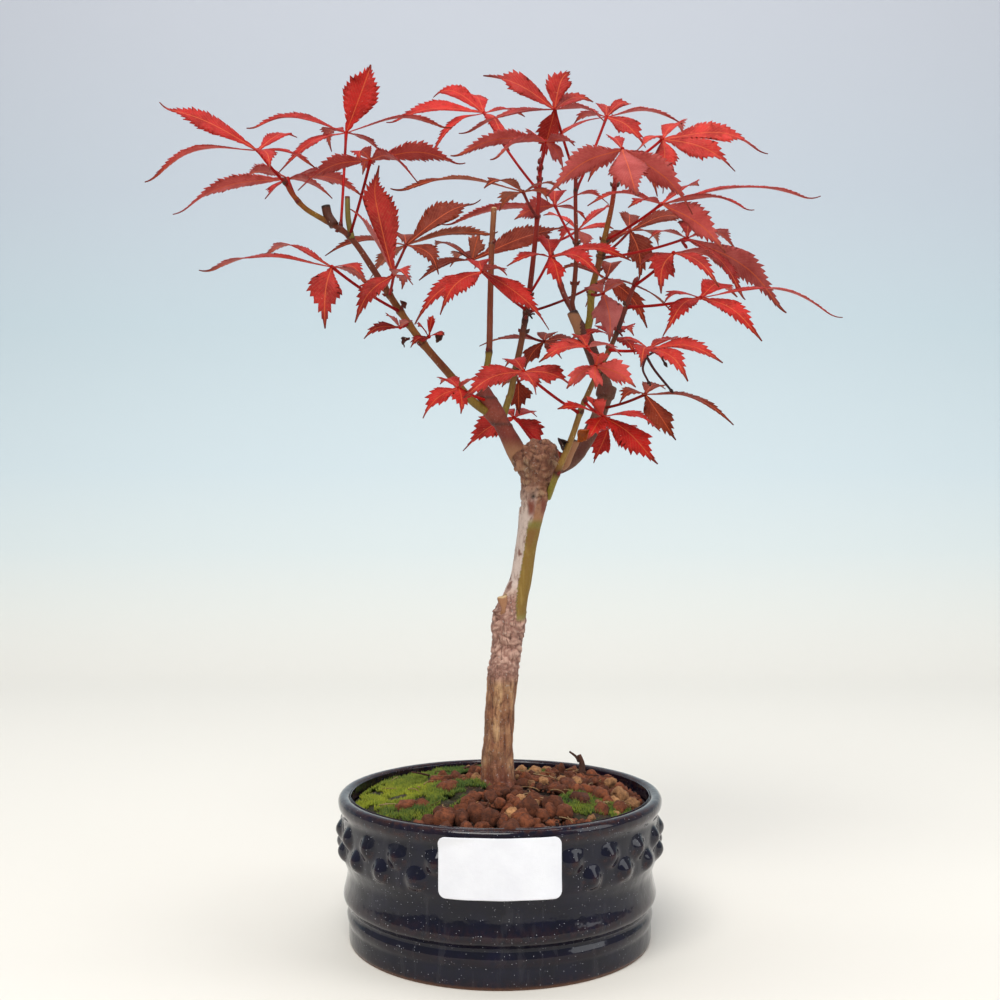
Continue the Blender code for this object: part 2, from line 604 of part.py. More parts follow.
def wood_gap(spots, wood):
    """Smallest distance from any of the spots to the skin of the wood."""
    places = np.array([tuple(spot) for spot in spots])
    centres, radii = wood
    away = np.linalg.norm(places[:, None, :] - centres[None, :, :], axis=2) - radii[None, :]
    return float(away.min())


def wood_samples(path, radii):
    """Dense balls along a tube, which stand for its skin when a gap is measured."""
    centres, sizes = [], []
    for a, b, ra, rb in zip(path, path[1:], radii, radii[1:]):
        for k in range(4):
            centres.append(tuple(a.lerp(b, k / 4)))
            sizes.append(ra + (rb - ra) * k / 4)
    centres.append(tuple(path[-1]))
    sizes.append(radii[-1])
    return np.array(centres), np.array(sizes)


def join_samples(pieces):
    return (np.concatenate([p[0] for p in pieces]), np.concatenate([p[1] for p in pieces]))


def trim_start(path, radii, wood, clearance):
    """Shorten a shoot at its foot until it only faces the wood that it grows from."""
    pairs = side_vectors(path)
    clear = []
    for centre, pair, radius in zip(path, pairs, radii):
        spots = ring_points(centre, pair, radius, 8) + [centre]
        clear.append(wood_gap(spots, wood) >= clearance)
    start = next((i for i in range(len(path)) if all(clear[i:i + 4])), 0)
    if start == 0:
        return path, radii
    low, high = 0.0, 1.0
    for _ in range(12):
        middle = 0.5 * (low + high)
        centre = path[start - 1].lerp(path[start], middle)
        radius = radii[start - 1] + (radii[start] - radii[start - 1]) * middle
        spots = ring_points(centre, pairs[start], radius, 8) + [centre]
        if wood_gap(spots, wood) >= clearance:
            high = middle
        else:
            low = middle
    first = path[start - 1].lerp(path[start], high)
    return [first] + path[start:], [radii[start]] + radii[start:]


def shoot_path(name, spans):
    points = [to_world(p) for p in STEMS[name]]
    return smooth_path(points, spans)


def taper(name, count, diameter):
    first, last = GIRTHS[name]
    return [0.5 * diameter * (first + (last - first) * i / (count - 1)) for i in range(count)]


def make_trunk():
    """Trunk with its two old limbs and the root stub in the soil, as one piece of wood."""
    points = [to_world(p[:3]) for p in TRUNK]
    path = smooth_path(points, 2)
    girths = smooth_path([Vector((p[3], 0, 0)) for p in TRUNK], 2)
    radii = [0.5 * TRUNK_DIAMETER * g.x for g in girths]
    stub = points[0] - Vector((0, 0, ROOT_DEPTH))
    samples = [wood_samples(path, [r * 1.05 for r in radii])]
    paths = {}
    body = finish("trunk", tube([stub] + path, [radii[0] - SOCKET_GAP] + radii, 14, 0.035), bark())
    for limb in ("left_limb", "right_limb"):
        line = smooth_path([to_world(LIMB_STARTS[limb])] + [to_world(p) for p in STEMS[limb]], 2)
        sizes = taper(limb, len(line), LIMB_DIAMETER)
        samples.append(wood_samples(line, sizes))
        paths[limb] = line
        cutter = finish("cutter_" + limb, tube(line, sizes, 10), bark())
        cutter.hide_render = True
        cutter.display_type = "WIRE"
        join = body.modifiers.new(limb, "BOOLEAN")
        join.operation = "UNION"
        join.object = cutter
    return paths, join_samples(samples)


def make_shoots(paths, trunk_wood):
    """The younger shoots, each butted on the wood that it grows from."""
    wood = {"trunk": trunk_wood}
    for name in SHOOTS:
        path = shoot_path(name, 5)
        radii = taper(name, len(path), SHOOT_DIAMETER)
        path, radii = trim_start(path, radii, join_samples(list(wood.values())), GAP)
        thin = [0] + list(range(2, len(path) - 1, 3)) + [len(path) - 1]
        path = [path[i] for i in thin]
        radii = [radii[i] for i in thin]
        finish(name, tube(path, radii, 8), shoot_bark())
        wood[name] = wood_samples(path, radii)
        paths[name] = path
    return join_samples(list(wood.values()))


# --- leaves ---------------------------------------------------------------------------
def point_along(path, share):
    lengths = [(b - a).length for a, b in zip(path, path[1:])]
    left = share * sum(lengths)
    for a, b, length in zip(path, path[1:], lengths):
        if left <= length:
            return a.lerp(b, left / length)
        left -= length
    return path[-1].copy()


def bend(start, control, end, t):
    return start * (1 - t) ** 2 + control * 2 * t * (1 - t) + end * t * t


def facing(face):
    """Upper side of a lobe: 0 looks up, 1 to the front and -1 to the back."""
    return Vector((0.0, -face, 1.0 - 0.85 * abs(face))).normalized()


def petiole_line(hub, foot, wood):
    """Leaf stalk from the hub to the shoot, stopped just short of the bark."""
    control = hub.lerp(foot, 0.5) + Vector((0, 0, -0.06 * (hub - foot).length))
    limit = 0.5 * PETIOLE_DIAMETER + GAP
    last = 1.0
    for k in range(401):
        t = k / 400
        if wood_gap([bend(hub, control, foot, t)], wood) < limit:
            last = max(t - 0.0025, 0.05)
            break
    return [bend(hub, control, foot, last * k / 5) for k in range(6)]


LOBE_STATIONS = ((0.30, 0.62), (0.55, 1.0), (0.78, 0.58))


def make_leaf(name, shoot, share, hub_mm, lobes, paths, wood, stuff):
    """One palmate leaf with its stalk: a thin closed sheet of lobes round a hub."""
    hub = to_world(hub_mm)
    line = petiole_line(hub, point_along(paths[shoot], share), wood)
    faces = [lobe[4] for lobe in lobes]
    up = facing(sum(faces) / len(faces))
    east = Vector((1, 0, 0))
    north = up.cross(east).normalized()
    arms = []
    for dx, dy, dz, width, face in lobes:
        reach = Vector((dx, dy, dz)) * MM * SCALE
        normal = facing(face)
        control = reach * 0.5 + normal * 0.09 * reach.length
        steps = [(hub + bend(Vector(), control, reach, t), 0.5 * width * MM * LEAF_WIDTH_FACTOR * w)
                 for t, w in LOBE_STATIONS]
        arms.append({"dir": reach.normalized(), "len": reach.length, "up": normal,
                     "steps": steps, "tip": hub + reach})
    stalk = (line[1] - line[0]).normalized()
    steps = [(p, 0.5 * PETIOLE_DIAMETER) for p in line[1:]]
    arms.append({"dir": stalk, "len": 0.02, "up": up, "steps": steps, "tip": None})
    arms.sort(key=lambda a: math.atan2(a["dir"].dot(north), a["dir"].dot(east)))
    bm = bmesh.new()
    centre = bm.verts.new(hub)
    count = len(arms)
    notches, spreads = [], []
    for i, arm in enumerate(arms):
        other = arms[(i + 1) % count]
        middle = arm["dir"] + other["dir"]
        angle = arm["dir"].angle(other["dir"])
        if middle.length < 0.3 or angle > 2.4:
            middle = up.cross(arm["dir"])
        depth = 0.15 * min(arm["len"], other["len"]) * min(1.0, 1.2 / max(angle, 0.4))
        if arm["tip"] is None or other["tip"] is None:
            depth = 0.0014
        notches.append(bm.verts.new(hub + middle.normalized() * max(depth, 0.001)))
        spreads.append(angle)
    for i, arm in enumerate(arms):
        before, after = notches[i - 1], notches[i]
        right, left = before, after
        axis = centre
        previous = hub
        for spot, half in arm["steps"]:
            across = arm["up"].cross(spot - previous if arm["tip"] is None else arm["dir"])
            across.normalize()
            away = (spot - hub).length
            half_left = min(half, 0.85 * away * math.tan(min(spreads[i], 2.2) / 2))
            half_right = min(half, 0.85 * away * math.tan(min(spreads[i - 1], 2.2) / 2))
            new_left = bm.verts.new(spot + across * half_left)
            new_right = bm.verts.new(spot - across * half_right)
            if axis is not None:
                bm.faces.new((axis, right, new_right))
                bm.faces.new((axis, new_right, new_left))
                bm.faces.new((axis, new_left, left))
                axis = None
            else:
                bm.faces.new((left, right, new_right, new_left))
            left, right = new_left, new_right
            previous = spot
        if arm["tip"] is not None:
            tip = bm.verts.new(arm["tip"])
            bm.faces.new((left, right, tip))
    made = finish(name, bm, stuff, closed=False)
    solid = made.modifiers.new("blade", "SOLIDIFY")
    solid.thickness = LEAF_THICKNESS
    solid.offset = 0.0
    return made


def make_leaves(paths, wood):
    brown = {6, 11, 19, 21, 23, 33, 37, 38}
    for number, (shoot, share, hub, lobes) in enumerate(LEAVES, start=1):
        stuff = leaf_brown() if number in brown else leaf_red()
        make_leaf("leaf_%02d" % number, shoot, share, hub, lobes, paths, wood, stuff)


def main():
    clear_scene()
    make_pot()
    make_drain_mesh()
    make_label()
    make_soil()
    make_ground_cover()
    paths, trunk_wood = make_trunk()
    wood = make_shoots(paths, trunk_wood)
    make_leaves(paths, wood)


main()
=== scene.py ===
"""A young Japanese maple kept as a bonsai in a round glazed pot, with moss and grit.

Metres, +Z up, -Y to the front.  The origin is the centre of the pot's base.
Tables of the tree are in millimetres above the ground at the trunk.
"""
import math

import bmesh
import bpy
import numpy as np
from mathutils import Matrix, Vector

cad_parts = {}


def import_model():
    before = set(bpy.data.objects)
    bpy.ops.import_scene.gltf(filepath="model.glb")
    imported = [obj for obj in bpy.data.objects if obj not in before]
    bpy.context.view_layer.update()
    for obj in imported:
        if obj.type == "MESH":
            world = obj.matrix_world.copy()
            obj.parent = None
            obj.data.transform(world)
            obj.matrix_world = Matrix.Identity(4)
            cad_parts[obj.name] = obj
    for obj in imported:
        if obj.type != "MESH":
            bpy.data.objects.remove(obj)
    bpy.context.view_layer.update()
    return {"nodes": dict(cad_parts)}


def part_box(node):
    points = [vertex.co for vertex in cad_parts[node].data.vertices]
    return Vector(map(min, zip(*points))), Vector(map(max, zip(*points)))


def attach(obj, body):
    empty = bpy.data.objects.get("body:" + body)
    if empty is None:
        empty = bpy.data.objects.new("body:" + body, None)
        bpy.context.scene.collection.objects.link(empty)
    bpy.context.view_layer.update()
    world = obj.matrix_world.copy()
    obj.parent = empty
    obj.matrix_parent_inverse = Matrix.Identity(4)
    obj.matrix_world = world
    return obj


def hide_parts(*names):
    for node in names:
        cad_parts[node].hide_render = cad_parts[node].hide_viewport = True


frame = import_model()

bl_info = {
    "name": "Maple Bonsai",
    "version": (1, 0, 0),
    "blender": (4, 5, 0),
    "location": "3D View > Sidebar > Bonsai",
    "description": "Builds a red-leaved maple bonsai in a round glazed pot",
    "category": "Add Mesh",
}

MM = 0.001
POT_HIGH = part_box("pot")[1]
LABEL_LOW, LABEL_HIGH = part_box("label")
STUDS_PER_ROW = 24
STUD_ROWS = ((0.0130, 0), (0.0197, 2))     # below the rim, and quarter pitches round the wall
STUD_TURN = math.radians(9.0)               # from the front to the first stud
BAND_DEPTH = 0.0233                         # studded band, from the rim down
POT_TURNS = 320                             # facets round the pot
OUTLINE_STEP = 0.0008                       # along the pot's outline
GROUND_RISE = 0.0070                        # mound of soil at the trunk
SOIL_EDGE = 0.0055                          # soil at the wall, below the rim
LIMB_GIRTH = 0.0072
BLADE_THICK = 0.00030
VEIN_PITCH = 1.7                            # mm along the midrib
STALK_RIB = (3.0, 0.3, 0.3, 0.0)            # away from the midrib, so stalks take the blade's colour
LONG_LOBE = 0.036                           # lobes over this length end in a hook
TOOTH_START, TOOTH_SPAN = 0.13, 0.77        # toothed part of a lobe, as shares of its length
CAMERA_PLACE = (0, -0.478, 0.164)
CAMERA_PITCH = math.radians(91.32)
CAMERA_LENS = 42.2
SUBJECT = (0, 0, 0.18)                      # what the softboxes point at
SWEEP_HALF = 2.6                            # half the sweep's width
SWEEP_BEND = 0.45                           # radius of its bend
SWEEP_START = 0.75                          # where the bend starts

# Trunk centreline in mm above the ground, with the local girth over the base girth.
TRUNK = (
    (-0.8, 0, 0, 1.10), (-0.8, 0, 4, 1.02), (-0.8, 0, 18.5, 0.88), (0.5, 0, 37.5, 0.88),
    (1.0, 0, 44, 0.94), (2.8, 1, 56, 0.90), (3.7, 1, 68, 1.02), (6.2, 1, 76, 0.80),
    (8.7, 1, 84, 0.66), (10.3, 1, 94, 0.64), (12.0, 0, 105, 0.68), (14.0, 0, 116, 0.82),
    (15.5, 0, 125, 1.08), (16.2, 0, 131, 1.34), (16.6, 0, 137, 1.05), (16.8, 0, 140.5, 0.55),
)
LIMB_STARTS = {"left_limb": (13.0, 0, 128), "right_limb": (17.0, 0, 126)}

# Girth of each shoot at its foot and at its tip, over the named diameters.
GIRTHS = {
    "left_limb": (1.05, 0.88), "right_limb": (0.95, 0.72),
    "shoot_left": (1.15, 0.62), "shoot_pruned": (0.86, 0.74),
    "shoot_centre": (0.95, 0.55), "shoot_right_back": (0.95, 0.6),
    "shoot_right_mid": (0.72, 0.5), "shoot_right_up": (1.05, 0.55),
    "shoot_front": (0.9, 0.52),
}

# Shoot centrelines, in mm: x, y and height above the ground at the trunk.
STEMS = {
    "left_limb": (
        (9.5, 0, 131.5), (2.5, -3, 143.5), (-2.5, -5, 153), (-7.5, -6, 160),
    ),
    "right_limb": (
        (19.5, 0, 129), (26.5, 2, 131), (32.5, 4, 136.5), (38.5, 6, 146), (42.5, 8, 155.5),
        (44, 9, 162.5), (41, 10, 171), (37.5, 11, 180.5), (35, 12, 187),
    ),
    "shoot_left": (
        (-4, -6, 150.5), (-12, -7, 156.5), (-20, -8, 166), (-30, -9, 177.5), (-37, -10, 187),
        (-45, -11, 199), (-52, -12, 210), (-57.5, -12, 218), (-62.5, -13, 223), (-70.5, -14, 227.5),
        (-77, -17, 231), (-81, -21, 235), (-83.5, -25, 239),
    ),
    "shoot_pruned": (
        (-7.5, -6, 160), (-6.5, -5, 165), (-4.5, -2, 176), (-4, 2, 198), (-3.5, 4, 219),
        (-2.5, 5, 237),
    ),
    "shoot_centre": (
        (1, -3, 148.5), (3, 0, 155.5), (4.5, 2, 160), (6, 4, 168.5), (8.5, 6, 180),
        (10.5, 7, 191.5), (12.5, 6, 205), (14.5, 4, 223), (16, 2, 241), (16.5, 0, 254.5),
    ),
    "shoot_right_back": (
        (35, 13, 187.5), (31.5, 18, 196), (27.5, 24, 205), (24.5, 30, 217), (22, 36, 228.5),
        (21, 38, 233),
    ),
    "shoot_right_mid": (
        (34.5, 12, 187), (30.5, 12, 197.5), (31, 12, 204), (32, 10, 220), (31.5, 8, 238.5),
        (31.5, 6, 253),
    ),
    "shoot_right_up": (
        (35.5, 11, 184.5), (37.5, 9, 192), (38, 5, 202.5), (40.5, 0, 213), (42.5, -5, 222.5),
        (45, -10, 234.5), (46.5, -14, 248),
    ),
    "shoot_front": (
        (19.5, 0, 117), (21.5, -8, 123), (24, -10, 129.5), (28.5, -13, 140.5), (32, -16, 151),
        (36, -19, 160.5), (40, -22, 169), (43.5, -24, 176), (46.5, -26, 183.5), (49, -28, 191),
        (52, -30, 199),
    ),
}
SHOOTS = ("shoot_left", "shoot_pruned", "shoot_centre", "shoot_right_up", "shoot_right_mid",
          "shoot_right_back", "shoot_front")

# Leaves: shoot, place along it, hub in mm, then each lobe's tip from the hub in mm
# (x, y, z), its width in mm and how far its upper side looks to the front (0 is up).
LEAVES = (
    ("shoot_left", 0.99, (-92, -36, 248), (
        (-36, -8, 14, 12, 0.5), (-45, 6, -8, 10, 0.15), (9, 22, 14, 9, 0.3),
        (20, 10, -2, 9, 0.4), (10, -20, -12, 8, 0.3))),
    ("shoot_left", 0.92, (-87, 0, 248), (
        (-46, -6, -14, 11, -0.35), (-23, 20, 9, 9, -0.3), (-4, -19, -12, 10, -0.5),
        (30, 14, -2, 9, -0.2), (21, -22, -13, 8, -0.3), (14, 22, 6, 8, -0.2))),
    ("shoot_left", 0.75, (-64, 6, 269), (
        (11, -2, 29, 17, 0.9), (-40, -6, 2, 12, 0.4), (44, 6, 6, 8, 0),
        (-23, -18, -20, 12, 0.4), (13, 22, -1, 10, 0.2), (-13, 28, 5, 9, 0.2))),
    ("shoot_left", 0.71, (-50, -28, 247), (
        (-27, -6, -11, 10, -0.3), (37, -4, -3, 10, -0.35), (19, -26, -13, 9, -0.3),
        (-3, -24, -6, 8, -0.1), (-5, 20, 2, 8, -0.2))),
    ("shoot_left", 0.47, (-41, -28, 202), (
        (-9, -2, 42, 17, 0.9), (-15, -6, -16, 12, 0.5), (7, -24, -6, 8, 0.2),
        (3, 18, 0, 8, 0.2), (-16, -6, 26, 8, 0.1))),
    ("shoot_left", 0.50, (-39, 6, 222), (
        (30, 4, 21, 16, 0.8), (-33, -4, -3, 11, 0.3), (38, 2, 5, 9, 0),
        (16, -14, -13, 10, 0.4), (-16, 18, -9, 9, 0.2), (-5, 28, 10, 9, 0.2))),
    ("shoot_left", 0.40, (-64, -34, 204), (
        (-52, 4, 0, 11, 0.3), (-30, 20, 12, 9, 0.2), (-2, -6, -22, 15, 0.8),
        (14, -16, -7, 8, 0.2), (13, 14, -3, 8, 0.2))),
    ("shoot_left", 0.35, (-39, -22, 183), (
        (-14, -4, -3, 7, 0.4), (-5, -8, 4, 5, 0.3), (5, -10, 1, 5, 0.2))),
    ("shoot_left", 0.28, (-28, -18, 180), (
        (-4, -6, 4, 6, 0.5), (2, -2, 9, 4, 0.3), (6, -6, 0, 5, 0.4),
        (-7, -5, -4, 5, 0.3))),
    ("shoot_centre", 0.43, (-7, -22, 205), (
        (-27, -8, -18, 11, 0.5), (-17, -20, -17, 12, 0.6), (10, -16, -4, 8, 0.2),
        (27, -8, -22, 11, 0.5), (-2, 22, 8, 10, 0.3))),
    ("shoot_centre", 0.47, (-12, 24, 220), (
        (3, 2, 12, 11, -0.5), (44, 8, 17, 15, 0.6), (-22, -4, -9, 12, 0.5),
        (-8, 26, 6, 10, 0.2), (-19, 18, 12, 10, 0.2))),
    ("shoot_right_mid", 0.96, (22, -10, 273), (
        (-29, -6, 12, 16, 0.7), (5, 4, 18, 13, 0.8), (16, 14, 10, 10, 0.6),
        (-38, 18, -4, 11, 0.3), (19, -18, -10, 9, 0.2), (-5, 16, -16, 11, 0.7))),
    ("shoot_centre", 0.89, (-7, 36, 288), (
        (-43, -4, -5, 15, 0.5), (-25, 18, 17, 13, 0.5), (-7, 28, 18, 10, 0.3),
        (-25, -18, -24, 9, 0.1), (8, -22, -21, 9, 0.3), (18, 16, 5, 9, 0.2))),
    ("shoot_centre", 0.97, (18, -22, 256), (
        (-37, -10, -9, 9, -0.3), (-20, -28, -14, 8, -0.3), (9, -26, -9, 9, -0.3),
        (7, -8, -12, 10, -0.5), (-8, 10, 6, 8, -0.2))),
    ("shoot_right_mid", 0.87, (46, 24, 282), (
        (11, 6, 9, 13, 0.6), (32, -4, -2, 11, 0.1), (15, -10, -15, 13, 0.7),
        (-14, 8, 2, 9, 0.2), (-24, -4, -12, 9, 0.3), (5, 28, 13, 10, 0.2))),
    ("shoot_right_up", 0.88, (45, -50, 244), (
        (-28, -8, -18, 12, -0.6), (26, -6, -21, 12, -0.5), (2, -30, -25, 16, -0.9),
        (-12, 14, -6, 9, -0.3), (16, 14, -10, 9, -0.4), (-2, 18, 10, 7, 0.1))),
    ("shoot_right_up", 0.98, (67, 2, 265), (
        (29, -6, -13, 15, 0.7), (44, 6, 0, 14, 0.6), (-2, -14, -24, 12, 0.6),
        (-11, -22, -10, 8, 0.2), (14, 26, 14, 10, 0.3))),
    ("shoot_right_up", 0.55, (64, -16, 233), (
        (64, -2, 2, 12, 0.25), (33, -20, -7, 10, 0.2), (-30, -8, 0, 10, 0.2),
        (-15, -24, -7, 8, 0.3), (23, -14, -20, 14, -0.6), (20, 22, 15, 10, 0.2))),
    ("shoot_right_up", 0.46, (56, 26, 233), (
        (31, 4, 6, 12, 0.4), (5, -4, -21, 15, 0.7), (2, 22, 14, 9, -0.3),
        (-13, 2, -7, 10, 0.4), (18, 24, 1, 10, 0.3))),
    ("shoot_centre", 0.49, (20, -16, 212), (
        (3, -12, -14, 11, 0.5), (-16, -16, -6, 9, 0.4), (31, -6, -1, 10, 0.3),
        (17, -20, -10, 10, 0.4), (-2, 20, 13, 9, 0.3))),
    ("shoot_centre", 0.42, (47, 38, 215), (
        (18, -6, -20, 13, 0.6), (32, 6, -14, 10, 0.3), (-21, 6, 7, 10, 0.3),
        (4, 26, 12, 10, 0.2), (-9, -14, -13, 9, 0.4))),
    ("shoot_right_up", 0.20, (41, -14, 198), (
        (3, -4, -18, 16, -0.95), (-8, -12, 0, 8, -0.3), (8, -8, 3, 8, -0.3))),
    ("shoot_centre", 0.79, (9, -26, 235), (
        (-51, -6, -1, 10, 0.1), (10, -10, -5, 10, 0.4), (-16, -22, -3, 9, 0.2),
        (-9, 14, -2, 9, 0.1), (15, 8, 5, 9, 0.2))),
    ("shoot_right_mid", 0.53, (24, 30, 245), (
        (-50, 4, -7, 10, -0.2), (-18, -16, -10, 10, -0.6), (13, -12, -8, 10, -0.3),
        (3, 26, 13, 10, 0.1), (25, 18, 9, 9, 0.1))),
    ("shoot_right_back", 0.93, (36, 60, 242), (
        (17, 10, 15, 9, 0.2), (16, -6, 0, 9, 0.3), (-15, 14, 12, 9, 0.2),
        (-9, -14, -8, 9, 0.3), (7, 20, -5, 9, 0.3))),
    ("shoot_right_up", 0.44, (79, 14, 227), (
        (41, -8, -29, 15, -0.6), (21, -22, -30, 10, 0.1), (-18, -14, -2, 8, 0.1),
        (24, 26, 5, 11, 0.3), (5, 30, 14, 9, 0.2))),
    ("shoot_front", 0.98, (64, -48, 206), (
        (-7, -8, -14, 13, 0.7), (14, -14, -13, 9, 0.2), (19, 10, -1, 9, 0.2),
        (-11, 14, -1, 8, 0.2))),
    ("shoot_front", 0.88, (77, -30, 193), (
        (-17, -12, -3, 9, 0.3), (17, 24, 9, 12, 0.5), (58, 8, -4, 11, 0.2),
        (20, -12, -16, 11, 0.4), (-16, -20, -15, 10, 0.4))),
    ("shoot_front", 0.67, (55, -46, 171), (
        (26, -6, -4, 12, 0.5), (13, -16, -11, 11, 0.5), (-5, -22, -8, 9, 0.4),
        (-10, 8, 5, 8, 0.3), (14, 20, 6, 9, 0.3))),
    ("right_limb", 0.75, (47, 2, 183), (
        (-14, -10, 0, 8, 0.1), (10, 22, 7, 8, 0.1), (7, -14, -8, 8, 0.3),
        (-4, 20, 8, 8, 0.2))),
    ("shoot_front", 0.60, (33, -36, 173), (
        (-18, -6, -5, 10, 0.3), (-14, 16, 3, 9, 0.2), (12, -12, -3, 9, 0.3),
        (-4, 14, 7, 8, 0.2))),
    ("shoot_front", 0.54, (35, -50, 164), (
        (-11, -6, -8, 11, -0.5), (-1, -14, -9, 12, -0.8), (14, -6, -7, 11, -0.5),
        (0, -12, 3, 8, -0.2))),
    ("right_limb", 0.53, (58, -11, 158), (
        (-12, -14, -3, 9, 0.3), (34, -6, -10, 10, 0.3), (11, -6, -18, 14, 0.7),
        (11, 24, 6, 9, 0.3))),
    ("shoot_front", 0.41, (39, -34, 147), (
        (-18, -8, 3, 9, 0.2), (-5, -14, 6, 8, 0.4), (20, -12, -4, 9, 0.2),
        (19, -4, -18, 16, 0.8), (-6, -12, -9, 10, 0.5))),
    ("right_limb", 0.41, (47, 30, 148), (
        (-7, -6, -15, 13, 0.6), (15, 16, 0, 9, 0.3), (-2, 24, 6, 8, 0.3))),
    ("shoot_front", 0.35, (9, -34, 164), (
        (-22, -8, -10, 14, 0.6), (18, -4, -5, 14, 0.6), (-6, 20, 7, 9, 0.2),
        (5, -16, -9, 9, 0.4))),
    ("shoot_centre", 0.34, (19, 26, 185), (
        (-28, 6, 0, 9, 0.2), (-9, -4, -12, 14, 0.6), (6, -10, -8, 9, 0.4),
        (5, 22, 6, 9, 0.2), (20, 14, 0, 10, 0.3))),
    ("shoot_centre", 0.18, (8, 20, 167), (
        (0, -2, -13, 14, 0.7), (-8, 10, 0, 8, 0.3), (9, 14, 3, 8, 0.3))),
    ("left_limb", 0.86, (-16, -24, 159), (
        (-14, -6, -10, 12, 0.5), (2, -12, -10, 9, 0.5), (6, -12, 2, 8, 0.3),
        (-8, 14, 5, 9, 0.3))),
    ("right_limb", 0.16, (6, 24, 152), (
        (-21, -6, -13, 14, 0.6), (13, -4, -14, 16, 0.7), (-6, 16, 5, 9, 0.3),
        (9, 18, 4, 9, 0.3))),
)

# --- arrays of points --------------------------------------------------------
def noise(points, size, seed=0, octaves=1):
    """Smooth lumps from -1 to 1, about as wide as size, at each of the points."""
    total, gain, weight = 0.0, 1.0, 0.0
    for octave in range(octaves):
        spots = np.asarray(points, float) / size * 2 ** octave + 17.3 * (seed + octave) + 500.0
        cell = np.floor(spots).astype(np.int64)
        part = spots - cell
        part = part * part * (3 - 2 * part)
        value = 0.0
        for corner in range(8):
            step = np.array([corner & 1, corner >> 1 & 1, corner >> 2 & 1])
            c = cell + step
            mixed = (c[..., 0] * 73856093 ^ c[..., 1] * 19349663 ^ c[..., 2] * 83492791
                     ^ (seed + octave) * 961748927)
            mixed = (mixed ^ mixed >> 13) * 1274126177 & 0xFFFFFFFF
            mixed = (mixed ^ mixed >> 15) * 2246822519 & 0xFFFFFFFF
            chance = ((mixed ^ mixed >> 16) & 0xFFFFFF) / 16777215.0
            value = value + np.prod(np.where(step, part, 1 - part), axis=-1) * chance
        total, weight, gain = total + gain * (2 * value - 1), weight + gain, gain * 0.5
    return total / weight


def soft(value, low, high):
    """0 below low, 1 above high, and a smooth step between."""
    t = np.clip((np.asarray(value, float) - low) / (high - low), 0, 1)
    return t * t * (3 - 2 * t)


def unit(vectors):
    vectors = np.asarray(vectors, float)
    return vectors / np.maximum(np.linalg.norm(vectors, axis=-1, keepdims=True), 1e-12)


def linear(colour):
    """A display colour as the linear one that shaders work in."""
    c = np.asarray(colour, float)
    return np.where(c <= 0.04045, c / 12.92, ((c + 0.055) / 1.055) ** 2.4)


def stops(shares, table):
    """Linear colours read off a table of (share, display colour)."""
    places = [row[0] for row in table]
    return np.stack([np.interp(shares, places, [linear(row[1])[k] for row in table]) for k in range(3)], -1)


def smooth_path(points, per_span):
    """Points on a Catmull-Rom curve through the given ones."""
    points = np.asarray(points, float)
    ends = np.concatenate([[points[0] * 2 - points[1]], points, [points[-1] * 2 - points[-2]]])
    t = (np.arange(per_span) / per_span)[:, None]
    parts = [0.5 * (2 * b + (c - a) * t + (2 * a - 5 * b + 4 * c - d) * t ** 2
                    + (3 * b - a - 3 * c + d) * t ** 3)
             for a, b, c, d in zip(ends, ends[1:], ends[2:], ends[3:])]
    return np.concatenate(parts + [points[-1:]])


def lengths(path):
    return np.concatenate([[0.0], np.cumsum(np.linalg.norm(np.diff(path, axis=0), axis=1))])


def even_path(points, step):
    """The smooth curve through the points, at even steps along it."""
    fine = smooth_path(points, 24)
    far = lengths(fine)
    places = np.linspace(0, far[-1], max(int(far[-1] / step), 3) + 1)
    return np.stack([np.interp(places, far, fine[:, k]) for k in range(fine.shape[1])], -1)


def frames(path):
    """Directions along the path, and two across it that don't twist."""
    along = unit(np.gradient(path, axis=0))
    side = np.cross(along[0], (0.0, 1.0, 0.0) if abs(along[0][1]) < 0.9 else (1.0, 0.0, 0.0))
    sides = []
    for direction in along:
        side = unit(side - direction * np.dot(side, direction))
        sides.append(side)
    sides = np.array(sides)
    return along, sides, np.cross(along, sides)


# --- meshes --------------------------------------------------------------------
def grid(rows, columns, wrap=False):
    """Quads of a grid of points stored row by row; wrap joins the last column to the first."""
    i, j = np.meshgrid(np.arange(rows - 1), np.arange(columns if wrap else columns - 1), indexing="ij")
    k = (j + 1) % columns
    quads = np.stack([i * columns + j, i * columns + k, (i + 1) * columns + k, (i + 1) * columns + j], -1)
    return quads.reshape(-1, 4)


